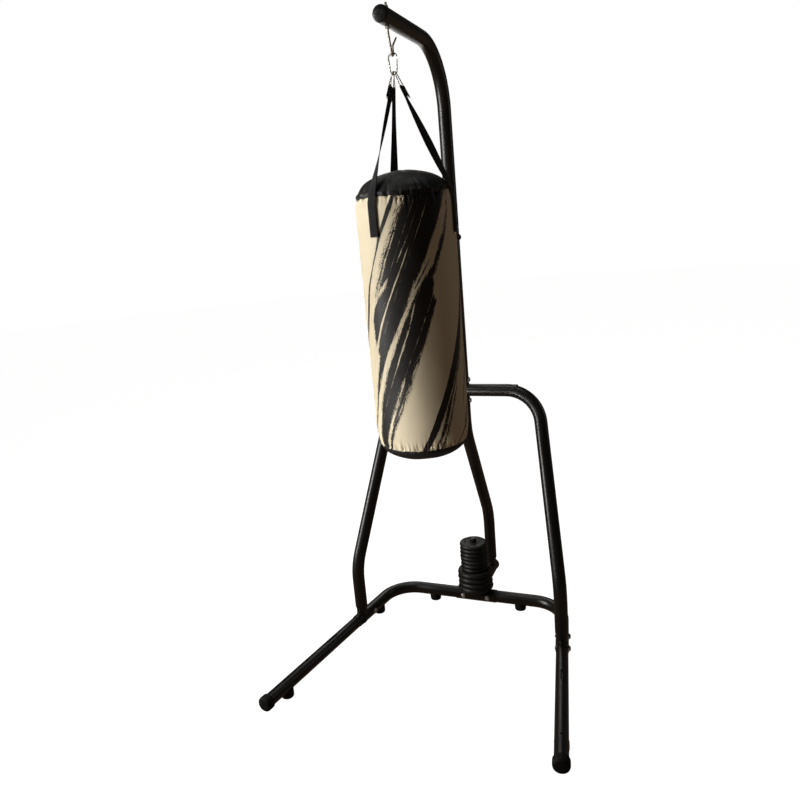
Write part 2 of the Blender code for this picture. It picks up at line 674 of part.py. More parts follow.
def make_bag():
    high_rise = BAG_TOP_Z - BAG_HIGH_SEAM_Z
    low_drop = BAG_LOW_SEAM_Z - BAG_BOTTOM_Z
    wall = [
        (HIGH_SEAM_R, BAG_HIGH_SEAM_Z),
        (BAG_R - 0.0018, BAG_HIGH_SEAM_Z - 0.010),
        (BAG_R, BAG_HIGH_SEAM_Z - 0.026),
        (BAG_R, BAG_LOW_SEAM_Z + 0.052),
        (BAG_R - 0.0022, BAG_LOW_SEAM_Z + 0.024),
        (LOW_SEAM_R, BAG_LOW_SEAM_Z),
    ]
    dome = ((0, 1.0), (0.40, 0.93), (0.74, 0.68), (0.93, 0.32), (1.0, 0))

    def lid(seam_r, seam_z, rise, inset):
        return [((seam_r - inset) * share, seam_z + (rise - math.copysign(inset, rise)) * up) for share, up in dome]

    def hollow(points, inset):
        return [(radius - inset, height) for radius, height in points]

    top_z = BAG_HIGH_SEAM_Z + GAP
    low_z = BAG_LOW_SEAM_Z - GAP
    top = lid(HIGH_SEAM_R, top_z, high_rise, 0) + lid(HIGH_SEAM_R, top_z, high_rise, SKIN)[::-1]
    bottom = lid(LOW_SEAM_R, low_z, -low_drop, SKIN) + lid(LOW_SEAM_R, low_z, -low_drop, 0)[::-1]
    inset = SKIN + GAP
    filling = lid(HIGH_SEAM_R, BAG_HIGH_SEAM_Z, high_rise, inset)[:-1] + hollow(wall, inset)
    filling += lid(LOW_SEAM_R, BAG_LOW_SEAM_Z, -low_drop, inset)[:-1][::-1]
    pieces = (
        ("bag_shell", wall + hollow(wall, SKIN)[::-1], PRINTED_SKIN, True),
        ("bag_top_cover", top, VINYL, False),
        ("bag_bottom_cap", bottom, VINYL, False),
        ("bag_filling", filling, FILLING, False),
    )
    for name, profile, finish, closed in pieces:
        made = turned(name, profile, finish, BAG_STEPS, closed)
        made.location.y = BAG_Y
        shade(made)


def plate_profile(radius, thick):
    edge = thick * 0.34
    return [
        (PLATE_BORE_R, thick),
        (radius - edge, thick),
        (radius, thick - edge * 0.9),
        (radius, edge * 0.9),
        (radius - edge, 0),
        (PLATE_BORE_R, 0),
    ]


def make_weights():
    height = STACK_Z
    stack = [("large_plate", LARGE_PLATES, LARGE_R, LARGE_THICK), ("small_plate", SMALL_PLATES, SMALL_R, SMALL_THICK)]
    for name, count, radius, thick in stack:
        for number in range(1, count + 1):
            profile = plate_profile(radius, thick)
            plate = turned(f"{name}_{number}", profile, PLATE_VINYL, PLATE_STEPS, closed=True)
            plate.location = (0, REAR_TUBE_Y, height)
            shade(plate)
            height += thick + GAP
    spindle = [
        (0, SPINDLE_TOP_Z),
        (SPINDLE_R - 0.002, SPINDLE_TOP_Z),
        (SPINDLE_R, SPINDLE_TOP_Z - 0.002),
        (SPINDLE_R, STACK_Z - GAP),
        (FLANGE_R, STACK_Z - GAP),
        (FLANGE_R, 0.0698),
        (0, 0.0698),
    ]
    made = turned("weight_spindle", spindle, BLACK_PAINT, 20)
    made.location.y = REAR_TUBE_Y
    shade(made)


def main():
    sleeve_holes = make_floor_frame()
    make_centre_bracket(sleeve_holes)
    make_legs()
    hub_holes = make_crossbar()
    make_mast_and_arm(hub_holes)
    make_hook()
    make_snap_hook()
    make_rings()
    make_straps()
    make_bag()
    make_weights()


main()
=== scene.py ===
"""Looks for the punching bag on its stand: smooth tubes, hardware, webbing, the stuffed bag and its print."""

import math
import random

import bmesh
import bpy
import numpy as np
from mathutils import Matrix, Vector


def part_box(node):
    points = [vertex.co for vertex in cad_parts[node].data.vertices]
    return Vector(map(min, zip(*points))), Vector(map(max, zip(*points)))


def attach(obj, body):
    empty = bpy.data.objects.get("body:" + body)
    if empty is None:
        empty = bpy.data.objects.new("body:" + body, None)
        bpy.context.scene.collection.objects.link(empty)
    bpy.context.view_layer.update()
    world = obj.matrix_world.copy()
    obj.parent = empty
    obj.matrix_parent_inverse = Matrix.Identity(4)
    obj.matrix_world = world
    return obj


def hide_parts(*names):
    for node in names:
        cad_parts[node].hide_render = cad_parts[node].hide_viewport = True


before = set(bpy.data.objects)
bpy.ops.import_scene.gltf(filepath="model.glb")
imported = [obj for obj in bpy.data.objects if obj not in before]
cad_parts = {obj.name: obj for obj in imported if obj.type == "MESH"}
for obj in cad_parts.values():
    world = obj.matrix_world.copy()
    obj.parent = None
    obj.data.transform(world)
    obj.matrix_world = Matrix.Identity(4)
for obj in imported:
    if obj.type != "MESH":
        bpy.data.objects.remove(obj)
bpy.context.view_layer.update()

UP = Vector((0, 0, 1))
RIGHT = Vector((1, 0, 0))
BACK = Vector((0, 1, 0))
SIDES = {"left": -1, "right": 1}


def middle(node):
    low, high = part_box(node)
    return (low + high) / 2


def half_width(node):
    low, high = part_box(node)
    return (high.x - low.x) / 2


# Stand: radii and places read from the frame, bends as in the CAD source
TUBE_R = half_width("upper_mast")
SPIGOT_R = 0.0205
FRONT_TUBE_R = 0.0213
SLEEVE_R = 0.0254
WALL = 0.0016
FLOOR_TUBE_Z = 0.042
REAR_TUBE_Y = middle("rear_foot_left").y
REAR_CORNER_X = 0.3437
REAR_BEND_R = 0.122
LEG_FOOT = Vector((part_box("leg_right")[1].x - TUBE_R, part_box("leg_right")[0].y + TUBE_R, FLOOR_TUBE_Z))
FRONT_END = Vector((0.4775, -0.545, FLOOR_TUBE_Z))
FLOOR_RUN = (FRONT_END - LEG_FOOT).normalized()
SOCKET_REACH = 0.037
SLEEVE_HALF = half_width("centre_bracket")
STUB_END_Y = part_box("centre_bracket")[1].y
STUB_COLLAR = 0.007
LEG_BEND_Z = 0.259
LEG_BEND_R = 0.250
CROSSBAR_Y = middle("crossbar").y
CROSSBAR_Z = middle("crossbar").z
CROSSBAR_CORNER_X = 0.280
CROSSBAR_HALF = half_width("crossbar")
CROSSBAR_BEND_R = 0.135
TUBE_START_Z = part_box("leg_right")[0].z
MAST_FOOT_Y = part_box("lower_mast")[1].y - TUBE_R
MAST_BEND_LOW_Z = 0.299
MAST_BEND_HIGH_Z = 0.732
MAST_BEND_R = 0.200
MAST_JOINT_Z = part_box("upper_mast")[1].z
ARM_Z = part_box("arm")[1].z - TUBE_R
ARM_END_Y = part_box("arm")[0].y
ARM_BEND_R = 0.195

# Hanging point
BAG_Y = middle("bag_shell").y
STEM_Y = middle("hook_top_nut").y
HOOK_R = 0.0035
HOOK_BEND_R = 0.0065
HOOK_PIVOT_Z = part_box("bag_hook")[0].z + HOOK_R
HOOK_TOP_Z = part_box("bag_hook")[1].z
SNAP_R = 0.0025
SNAP_TOP_R = 0.0133
SNAP_BOTTOM_R = 0.010
SNAP_TOP_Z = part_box("snap_hook")[1].z - SNAP_R
SNAP_BOTTOM_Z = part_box("snap_hook")[0].z + SNAP_R
RING_R = 0.00175
RING_ARCH_R = 0.0064
RING_CORNER_R = 0.004
RING_HALF = 0.0165
RING_LENGTH = 0.046
RING_SPACING = 0.0039

# Bag
BAG_R = half_width("bag_shell")
BAG_LOW_SEAM_Z, BAG_HIGH_SEAM_Z = (corner.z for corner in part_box("bag_shell"))
BAG_BOTTOM_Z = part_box("bag_bottom_cap")[0].z
BAG_TOP_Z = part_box("bag_top_cover")[1].z
HIGH_SEAM_R = half_width("bag_top_cover")
LOW_SEAM_R = half_width("bag_bottom_cap")
WALL_R = BAG_R - 0.0012
STRAPS = {
    "right": (math.radians(3.5), math.radians(32)),
    "rear": (math.radians(123.5), 0),
    "left": (math.radians(-107), 0),
}
STRAP_WIDTH = 0.029
LOOP_WIDTH = 0.024
STRAP_THICK = 0.0018

# Camera, at the photograph's viewing angle
CAMERA_PLACE = Vector((0.7971, -2.1857, 1.5112))
CAMERA_YAW = math.radians(23.18)
CAMERA_PITCH = math.radians(13.77)
CAMERA_ROLL = math.radians(5.14)
CAMERA_LENS = 31.71
SENSOR = 36


# ---------------------------------------------------------------- materials


class Nodes:
    """Builds the nodes of one shader tree."""

    def __init__(self, tree):
        self.tree = tree

    def node(self, kind, values=None, **settings):
        made = self.tree.nodes.new("ShaderNode" + kind)
        for key, value in settings.items():
            setattr(made, key, value)
        for key, value in (values or {}).items():
            if isinstance(value, bpy.types.NodeSocket):
                self.tree.links.new(value, made.inputs[key])
            else:
                made.inputs[key].default_value = value
        return made

    def math(self, operation, *values, clamp=False):
        return self.node("Math", dict(enumerate(values)), operation=operation, use_clamp=clamp).outputs[0]

    def times(self, first, second):
        return self.math("MULTIPLY", first, second)

    def plus(self, first, second):
        return self.math("ADD", first, second)

    def wrapped(self, degrees):
        return self.math("WRAP", degrees, 180.0, -180.0)

    def mix(self, factor, first, second):
        return self.node("Mix", {0: factor, 6: first, 7: second}, data_type="RGBA").outputs[2]

    def fit(self, value, low, high, out_low=0.0, out_high=1.0, smooth=False):
        values = {0: value, 1: low, 2: high, 3: out_low, 4: out_high}
        kind = "SMOOTHSTEP" if smooth else "LINEAR"
        return self.node("MapRange", values, interpolation_type=kind).outputs[0]


class Finish(Nodes):
    """One Principled material, built node by node."""

    def __init__(self, name, **uniform):
        self.material = bpy.data.materials.new(name)
        self.material.use_nodes = True
        super().__init__(self.material.node_tree)
        self.shader = self.tree.nodes["Principled BSDF"]
        for socket, value in uniform.items():
            self.shader.inputs[socket.replace("_", " ")].default_value = value
        self.place = self.node("TexCoord").outputs["Object"]

    def noise(self, scale, detail, roughness=0.5, vector=None):
        values = {"Vector": vector or self.place, "Scale": scale, "Detail": detail, "Roughness": roughness}
        return self.node("TexNoise", values).outputs["Fac"]

    def stretched(self, scale):
        place = self.node("Mapping", {"Vector": self.place, "Scale": scale}).outputs[0]
        return self.noise(1, 4, vector=place)

    def spots(self, scale, detail, low, high, out_low=0.0, out_high=1.0):
        """One range of a noise, stretched to another."""
        return self.fit(self.noise(scale, detail), low, high, out_low, out_high)

    def bump(self, height, distance, strength, under=None):
        values = {"Height": height, "Distance": distance, "Strength": strength}
        if under:
            values["Normal"] = under
        return self.node("Bump", values).outputs[0]

    def dust_and_top_light(self, low, scale, amount):
        """Dust and painted top light: the faces that look up are made lighter, in spots."""
        normal = self.node("NewGeometry").outputs["Normal"]
        upward = self.fit(self.node("SeparateXYZ", {0: normal}).outputs["Z"], low, 1.0)
        return self.times(upward, self.spots(scale, 4, 0.4, 0.8, 0.0, amount))

    def vinyl_grain(self, fold):
        cells = self.node("TexVoronoi", {"Vector": self.place, "Scale": 520.0}, feature="DISTANCE_TO_EDGE")
        grain = self.bump(self.fit(cells.outputs[0], 0.0, 0.25), 0.00009, 0.5)
        return self.bump(self.noise(38, 4, 0.6), 0.0012, fold, grain)

    def output(self, colour, roughness, normal=None):
        for socket, value in (("Base Color", colour), ("Roughness", roughness), ("Normal", normal)):
            if value:
                self.tree.links.new(value, self.shader.inputs[socket])
        return self.material


def rgb(red, green, blue):
    return (red, green, blue, 1.0)


def powder_coat():
    made = Finish("powder_coat", Specular_IOR_Level=0.5)
    colour = made.mix(made.noise(9, 3), rgb(0.0052, 0.0045, 0.0040), rgb(0.0086, 0.0073, 0.0062))
    specks = made.spots(420, 2, 0.70, 0.76, 0.0, 0.03)
    # The faces that look up are lighter in spots, dust and painted top light; the light specks are the coat's own.
    colour = made.mix(made.math("MAXIMUM", made.dust_and_top_light(0.55, 35, 0.06), specks), colour, rgb(0.10, 0.092, 0.082))
    peel = made.bump(made.noise(450, 2), 0.00008, 0.22)
    smear = made.fit(made.stretched((14, 14, 5)), 0.3, 0.7, 0.27, 0.37)
    return made.output(colour, smear, made.bump(made.noise(45, 2), 0.0003, 0.12, peel))


def mottled(name, cloud, dark, light, spots, tint, shine, relief, **uniform):
    """Cloudy colour with tinted spots, an uneven shine, and a fine relief or a vinyl's grain."""
    made = Finish(name, **uniform)
    colour = made.mix(made.noise(*cloud), dark, light)
    if spots:
        colour = made.mix(made.spots(*spots), colour, tint)
    scale, detail, low, high = shine
    roughness = made.spots(scale, detail, 0.3, 0.7, low, high)
    if isinstance(relief, float):
        return made.output(colour, roughness, made.vinyl_grain(relief))
    scale, detail, depth, strength = relief
    return made.output(colour, roughness, made.bump(made.noise(scale, detail), depth, strength))


def plate_vinyl():
    made = Finish("plate_vinyl", Specular_IOR_Level=0.4)
    colour = made.mix(made.noise(30, 4), rgb(0.0058, 0.0060, 0.0050), rgb(0.0125, 0.0125, 0.0103))
    scuff = made.fit(made.stretched((60, 60, 260)), 0.62, 0.75, 0.0, 0.35)
    # Scuffs, and the faces that look up lighter in spots: dust and painted top light.
    colour = made.mix(made.math("MAXIMUM", scuff, made.dust_and_top_light(0.4, 80, 0.35)), colour, rgb(0.046, 0.043, 0.035))
    return made.output(colour, made.spots(40, 4, 0.3, 0.7, 0.36, 0.56), made.vinyl_grain(0.25))


RIB_WIDTH = 0.0016
WEFT_LENGTH = 0.0024


def webbing():
    """Woven polyester tape: ribs along its length, crossed by the weft, from the strap's own width and length."""
    made = Finish("black_webbing", Sheen_Weight=0.05, Sheen_Roughness=0.5, Specular_IOR_Level=0.3)
    split = made.node("SeparateXYZ", {0: made.node("UVMap", uv_map="Weave").outputs[0]})
    warp = made.math("SINE", made.times(split.outputs["X"], 2 * math.pi / RIB_WIDTH))
    shift = made.times(made.math("SIGN", warp), 0.25)
    along = made.math("DIVIDE", split.outputs["Y"], WEFT_LENGTH)
    weft = made.math("SINE", made.times(made.plus(along, shift), 2 * math.pi))
    weave = made.times(made.math("ABSOLUTE", warp), made.fit(weft, -1, 1, 0.45, 1.0))
    # The grooves of the weave are painted darker than its ribs: painted shade that follows the relief.
    colour = made.mix(weave, rgb(0.0018, 0.0019, 0.0021), rgb(0.0062, 0.0066, 0.0072))
    colour = made.mix(made.spots(700, 3, 0.55, 0.8, 0.0, 0.22), colour, rgb(0.020, 0.020, 0.020))
    normal = made.bump(made.noise(260, 3), 0.0004, 0.35, made.bump(weave, 0.0004, 0.8))
    return made.output(colour, made.fit(weave, 0, 1, 0.92, 0.72), normal)


# The print: brush strokes that run down round the bag. Each stop of a stroke is a height on the bag in
# metres, the stroke's place round the bag in degrees, counted along the strokes' common slope, and half
# its width in degrees.
PRINT_SLOPE = 171
PRINT_TOP = 1.592
PRINT_LOW = 0.842
PRINT_HIGH = 1.602
DUSTY = 11.0
DRY = 5.6
WET = 1.5
EDGE_BLUR = 0.35
PLACE_SPAN = 80.0
HALF_SPAN = 40.0
WASH_PLACE = 62.0
INK = {
    "thin_lead": (WET, (
        (1.597, -82, 2.6), (1.562, -82, 3.4), (1.492, -84, 2.6), (1.452, -83, 1.4), (1.402, -83, 1.1),
        (1.352, -83.4, 1.9), (1.292, -80.6, 2.5), (1.212, -77, 2.7), (1.142, -78, 1.4), (1.102, -78, 0),
    )),
    "main_left": (DRY, (
        (1.597, -44, 26.0), (1.542, -43.8, 25.0), (1.492, -43.2, 23.8), (1.392, -43.7, 22.8), (1.342, -45, 21.5),
        (1.292, -45, 21.5), (1.242, -45, 20.0), (1.192, -40.5, 14.8), (1.162, -38, 10.5), (1.142, -34.5, 6.5),
        (1.092, -33.5, 4.5), (1.042, -32.3, 2.8), (0.942, -27, 1.6),
    )),
    "main_fringe": (DUSTY, (
        (1.597, -70.5, 1.6), (1.492, -69, 2.2), (1.392, -68.5, 2.4), (1.342, -68, 1.4), (1.302, -67, 0.2),
    )),
    "main_right": (DRY, (
        (1.577, -12.5, 0.7), (1.542, -8.0, 1.4), (1.492, -5.0, 2.4), (1.442, -4.9, 2.9), (1.402, -5.8, 3.2),
        (1.362, -9, 5.5), (1.342, -8.5, 9.5), (1.317, -8.0, 11), (1.292, -4.1, 15.5), (1.192, -3.8, 17),
        (1.092, -2.5, 19.5), (1.042, -1, 20), (0.992, -0.5, 18.5), (0.942, 0.4, 15.3), (0.892, 2, 12.6),
        (0.852, 3, 11.5),
    )),
    "hairline": (WET, (
        (1.422, -15, 0.2), (1.392, -17, 1.0), (1.352, -20, 1.2), (1.327, -21.6, 0.2),
    )),
    "lower_bold": (WET, (
        (1.337, 56, 0.5), (1.292, 58.6, 3.4), (1.242, 61.3, 3.9), (1.192, 62.2, 4.6), (1.132, 63.7, 5.2),
        (1.042, 64.5, 5.4), (0.942, 63.3, 5.2), (0.892, 62.2, 4.6), (0.852, 60.5, 4.2),
    )),
    "lower_echo": (DRY, (
        (1.192, 68, 0.2), (1.162, 69.0, 1.3), (1.072, 72.6, 2.0), (1.032, 72.0, 1.6), (0.972, 72.8, 2.0),
        (0.912, 75, 2.3), (0.862, 75.5, 2.4),
    )),
    "lower_dry": (DRY, (
        (1.052, 77, 0.1), (0.962, 78.5, 1.4), (0.892, 81, 1.7), (0.852, 83, 1.6),
    )),
    "right_thin": (WET, (
        (1.212, 80, 0.1), (1.142, 88, 1.2), (1.092, 92, 1.7), (1.022, 98, 1.9), (0.962, 100, 0.3),
    )),
    "right_low": (DRY, (
        (0.992, 111, 0.2), (0.942, 113.7, 1.9), (0.902, 114.8, 2.2), (0.852, 109, 1.5),
    )),
    "back_thin": (WET, (
        (1.597, 126, 1.6), (1.442, 130, 2.4), (1.242, 127, 1.5), (1.112, 128, 0.1),
    )),
    "back_main": (DRY, (
        (1.597, 172, 8), (1.512, 168, 13), (1.372, 170, 20), (1.212, 165, 24), (1.042, 160, 20), (0.912, 158, 12),
        (0.852, 157, 9),
    )),
    "back_tail": (WET, (
        (1.322, -130, 0.1), (1.192, -126, 2.2), (1.042, -124, 3.8), (0.892, -122, 3.0), (0.852, -122, 2.4),
    )),
}
SCRATCH = {
    "long_line": (WET, (
        (1.457, -45, 0.1), (1.432, -45.3, 0.75), (1.392, -45.4, 0.65), (1.352, -46.3, 1.0), (1.292, -47.5, 1.0),
        (1.242, -48.6, 1.5), (1.192, -47.8, 1.9), (1.152, -47, 2.6),
    )),
    "island": (DRY, (
        (1.372, -57, 0.1), (1.347, -60, 2.3), (1.332, -62, 2.9), (1.312, -64.5, 1.6), (1.282, -67, 0.3),
    )),
    "dotted": (DRY, (
        (1.352, -15.2, 0.1), (1.292, -15.6, 0.5), (1.232, -12, 0.5), (1.192, -11.6, 0.6), (1.147, -10.8, 0.7),
        (1.102, -10.6, 0.2),
    )),
    "upper_a": (DRY, (
        (1.562, -41, 0.1), (1.532, -41, 0.5), (1.472, -41, 0.1),
    )),
    "upper_b": (DRY, (
        (1.492, -50, 0.1), (1.447, -51.5, 0.55), (1.402, -52.5, 0.1),
    )),
    "low_streak": (DRY, (
        (1.082, 3.0, 0.2), (1.042, 4.4, 1.0), (0.992, 5.0, 1.4), (0.952, 5.1, 1.6), (0.912, 5.6, 1.8),
        (0.852, 7.0, 2.0),
    )),
    "low_edge": (DUSTY, (
        (1.172, 13.5, 0.3), (1.112, 15.5, 2.0), (1.052, 17.6, 3.0), (1.012, 17.4, 3.3), (0.972, 17.2, 3.4),
        (0.922, 17, 3.3), (0.852, 18, 3.2),
    )),
    "back_line": (DRY, (
        (1.442, 160, 0.1), (1.342, 162, 1.2), (1.192, 158, 1.6), (1.092, 157, 0.2),
    )),
}


def stroke_group():
    """Mask of one stroke: 1 inside it, with a grainy edge."""
    group = bpy.data.node_groups.new("brush_stroke", "ShaderNodeTree")
    for name in ("Round", "Centre", "Half", "Grain", "Rough"):
        group.interface.new_socket(name, in_out="INPUT", socket_type="NodeSocketFloat")
    group.interface.new_socket("Mask", in_out="OUTPUT", socket_type="NodeSocketFloat")
    around, centre, half, grain, rough = list(group.nodes.new("NodeGroupInput").outputs)[:5]
    made = Nodes(group)
    offset = made.math("ABSOLUTE", made.wrapped(made.math("SUBTRACT", around, centre)))
    ragged = made.times(made.times(grain, rough), made.math("MINIMUM", half, 1.0))
    beyond = made.plus(made.math("SUBTRACT", offset, half), ragged)
    mask = made.fit(beyond, -EDGE_BLUR, 0.0, 1.0, 0.0, smooth=True)
    group.links.new(mask, group.nodes.new("NodeGroupOutput").inputs[0])
    return group


def painted(made, strokes, group, level, around, grain):
    """Mask of a table of strokes. A colour ramp carries each stroke's place and half width down the bag."""
    total = None
    for rough, stops in strokes.values():
        ramp = made.node("ValToRGB", {0: level})
        elements = ramp.color_ramp.elements
        ordered = sorted(stops)
        while len(elements) < len(ordered):
            elements.new(0.5)
        base = sum(stop[1] for stop in ordered) / len(ordered)
        for element, stop in zip(elements, ordered):
            element.position = (stop[0] - PRINT_LOW) / (PRINT_HIGH - PRINT_LOW)
        for element, (_, centre, half) in zip(elements, ordered):
            element.color = ((centre - base) / PLACE_SPAN + 0.5, half / HALF_SPAN, 0, 1)
        carried = made.node("SeparateXYZ", {0: ramp.outputs["Color"]}).outputs
        stroke = made.node("Group", node_tree=group)
        values = {
            "Round": around,
            "Centre": made.math("MULTIPLY_ADD", made.math("SUBTRACT", carried["X"], 0.5), PLACE_SPAN, base),
            "Half": made.times(carried["Y"], HALF_SPAN),
            "Grain": grain,
        }
        for key, value in values.items():
            made.tree.links.new(value, stroke.inputs[key])
        stroke.inputs["Rough"].default_value = rough
        mask = stroke.outputs["Mask"]
        total = made.math("MAXIMUM", total, mask) if total else mask
    return total


def printed_skin():
    made = Finish("printed_skin", Specular_IOR_Level=0.26)
    split = made.node("SeparateXYZ", {0: made.place}).outputs
    height = split["Z"]
    angle = made.math("DEGREES", made.math("ARCTAN2", split["Y"], split["X"]))
    around = made.plus(angle, made.times(made.math("SUBTRACT", PRINT_TOP, height), PRINT_SLOPE))
    level = made.fit(height, PRINT_LOW, PRINT_HIGH)

    # Bristle marks: noises drawn out along the strokes' slope
    turned = made.math("RADIANS", around)
    values = {0: made.math("COSINE", turned), 1: made.math("SINE", turned), 2: made.times(height, 0.55)}
    along = made.node("CombineXYZ", values).outputs[0]
    streaks = made.noise(27, 3, 0.6, vector=along)
    fine = made.noise(64, 3, 0.65, vector=along)

    def spread(value, weight):
        return made.times(made.math("SUBTRACT", made.fit(value, 0.33, 0.67), 0.5), weight)

    grain = made.plus(spread(fine, 0.55), spread(made.noise(340, 2, 0.6), 0.45))
    grain = made.plus(spread(streaks, 0.40), grain)
    group = stroke_group()
    ink = painted(made, INK, group, level, around, grain)
    scratched = made.times(painted(made, SCRATCH, group, level, around, grain), 0.93)
    worn = made.fit(made.plus(fine, made.times(streaks, 0.5)), 0.74, 0.92)
    hair = made.fit(made.noise(95, 2, 0.5, vector=along), 0.665, 0.70, 0.0, 0.16)
    for lost in (scratched, made.times(hair, worn)):
        ink = made.math("MULTIPLY", ink, made.math("SUBTRACT", 1.0, lost), clamp=True)

    # Grey wash beside the main strokes, on the cream
    cream = made.mix(made.noise(7, 3), rgb(0.640, 0.562, 0.400), rgb(0.715, 0.632, 0.458))
    wash = made.fit(made.plus(streaks, made.times(fine, 0.45)), 0.68, 0.88, 0.0, 0.28)
    beside = made.math("ABSOLUTE", made.wrapped(made.plus(around, WASH_PLACE)))
    wash = made.times(wash, made.fit(beside, 16, 26, 1, 0.08))
    cream = made.mix(wash, cream, rgb(0.27, 0.20, 0.125))
    black = made.mix(fine, rgb(0.0075, 0.0066, 0.0062), rgb(0.020, 0.018, 0.017))
    relief = made.bump(ink, 0.00008, 0.5, made.vinyl_grain(0.18))
    return made.output(made.mix(ink, cream, black), made.fit(ink, 0, 1, 0.56, 0.46), relief)


MATERIALS = {
    "black_paint": powder_coat(),
    "zinc_steel": mottled(
        "zinc_steel", (120, 3), rgb(0.50, 0.48, 0.44), rgb(0.66, 0.64, 0.59), (90, 4, 0.60, 0.80, 0.0, 0.35),
        rgb(0.26, 0.23, 0.19), (160, 3, 0.36, 0.50), (300, 2, 0.00006, 0.25), Metallic=0.40,
    ),
    "black_rubber": mottled(
        "black_rubber", (60, 4), rgb(0.0035, 0.0034, 0.0033), rgb(0.0080, 0.0076, 0.0072),
        (150, 3, 0.55, 0.8, 0.0, 0.16), rgb(0.060, 0.055, 0.048), (45, 3, 0.58, 0.78), (900, 3, 0.00015, 0.6),
        Specular_IOR_Level=0.22,
    ),
    "black_plastic": mottled(
        "black_plastic", (80, 3), rgb(0.0028, 0.0028, 0.0028), rgb(0.0060, 0.0060, 0.0060), None, None,
        (120, 3, 0.30, 0.44), (1400, 2, 0.00006, 0.5), Specular_IOR_Level=0.4,
    ),
    "printed_skin": printed_skin(),
    "black_vinyl": mottled(
        "black_vinyl", (24, 4), rgb(0.0052, 0.0049, 0.0044), rgb(0.0100, 0.0094, 0.0085),
        (900, 2, 0.74, 0.80, 0.0, 0.07), rgb(0.16, 0.15, 0.13), (50, 4, 0.42, 0.58), 0.35, Specular_IOR_Level=0.30,
    ),
    "black_webbing": webbing(),
    "plate_vinyl": plate_vinyl(),
}


# ---------------------------------------------------------------- geometry


SHARP = 35
HOLLOW_DEPTH = 0.05


def rounded_route(corners, radii, degrees=6):
    """Points along straight runs through the corners, with an arc at each corner that has a radius."""
    count = len(corners)
    route = []
    for index, corner in enumerate(corners):
        radius = radii[index]
        if not radius:
            route.append(corner.copy())
            continue
        before = (corner - corners[index - 1]).normalized()
        after = (corners[(index + 1) % count] - corner).normalized()
        turn = before.angle(after)
        centre = corner + (after - before).normalized() * radius / math.cos(turn / 2)
        start = corner - before * radius * math.tan(turn / 2)
        steps = max(2, round(math.degrees(turn) / degrees))
        for step in range(steps + 1):
            angle = turn * step / steps
            route.append(centre + (start - centre) * math.cos(angle) + before * radius * math.sin(angle))
    return route


def on_side(point, side):
    return Vector((point.x * side, point.y, point.z))


def across_of(direction):
    """Two unit vectors at right angles to a direction."""
    guide = RIGHT if abs(direction.x) < 0.9 else UP
    first = (guide - direction * guide.dot(direction)).normalized()
    return first, direction.cross(first)


def add_mesh(name, points, faces, slot, sharp=SHARP):
    mesh = bpy.data.meshes.new(name)
    mesh.from_pydata([tuple(point) for point in points], [], faces)
    mesh.validate()
    mesh.shade_smooth()
    mesh.set_sharp_from_angle(angle=math.radians(sharp))
    mesh.materials.append(MATERIALS[slot])
    made = bpy.data.objects.new(name, mesh)
    bpy.context.scene.collection.objects.link(made)
    return made


def loft(rings, cyclic=False, start=0):
    """Points and faces between rings of the same count; a ring of one point closes an end."""
    offsets = [start]
    for ring in rings:
        offsets.append(offsets[-1] + len(ring))
    faces = []
    for near in range(len(rings) if cyclic else len(rings) - 1):
        far = (near + 1) % len(rings)
        first, second = offsets[near], offsets[far]
        count = max(len(rings[near]), len(rings[far]))
        for index in range(count):
            after = (index + 1) % count
            if len(rings[near]) == 1:
                faces.append((first, second + after, second + index))
            elif len(rings[far]) == 1:
                faces.append((first + index, first + after, second))
            else:
                faces.append((first + index, first + after, second + after, second + index))
    return [point for ring in rings for point in ring], faces


def joined(ring_sets):
    """Points and faces of several lofts, as one mesh."""
    points = []
    faces = []
    for rings in ring_sets:
        more, more_faces = loft(rings, start=len(points))
        points += more
        faces += more_faces
    return points, faces


def outward(made):
    """Turns the faces of a closed piece outwards."""
    shape = bmesh.new()
    shape.from_mesh(made.data)
    bmesh.ops.recalc_face_normals(shape, faces=shape.faces)
    shape.to_mesh(made.data)
    shape.free()
    return made


def circle(centre, first, second, radius, sides, phase=0.0):
    turns = (2 * math.pi * index / sides + phase for index in range(sides))
    return [centre + (first * math.cos(turn) + second * math.sin(turn)) * radius for turn in turns]


def sweep_rings(route, radii, sides, cyclic=False, end="hollow", wall=WALL):
    """Rings of a tube along a route. The ends are hollow with a wall, or rounded."""
    count = len(route)
    if isinstance(radii, (int, float)):
        radii = [radii] * count
    tangents = []
    for index in range(count):
        before = route[index - 1] if cyclic or index else route[index]
        after = route[(index + 1) % count] if cyclic or index < count - 1 else route[index]
        tangents.append((after - before).normalized())
    first, _ = across_of(tangents[0])
    rings = []
    sections = []
    for index, tangent in enumerate(tangents):
        first = (first - tangent * first.dot(tangent)).normalized()
        second = tangent.cross(first)
        rings.append(circle(route[index], first, second, radii[index], sides))
        sections.append((route[index], tangent, first, second, radii[index]))
    if cyclic:
        return rings
    for back, section in ((True, sections[0]), (False, sections[-1])):
        place, tangent, first, second, radius = section
        out = -tangent if back else tangent
        edge = min(0.0004, wall * 0.3)
        if end == "hollow":
            steps = [
                (-edge, radius), (0, radius - edge), (0, radius - wall + edge), (-edge, radius - wall),
                (-HOLLOW_DEPTH, radius - wall),
            ]
            middle_at = -HOLLOW_DEPTH
        else:
            steps = [(radius * math.sin(turn) * 0.6, radius * math.cos(turn)) for turn in (0.35, 0.75, 1.15)]
            middle_at = radius * 0.6
        added = [circle(place + out * along, first, second, reach, sides) for along, reach in steps]
        added.append([place + out * middle_at])
        if back:
            rings = added[::-1] + rings[1 if end == "hollow" else 0:]
        else:
            rings = (rings[:-1] if end == "hollow" else rings) + added
    return rings


def sweep(name, route, radii, slot="black_paint", sides=40, sharp=SHARP, **shape):
    points, faces = loft(sweep_rings(route, radii, sides, **shape), shape.get("cyclic", False))
    return outward(add_mesh(name, points, faces, slot, sharp))


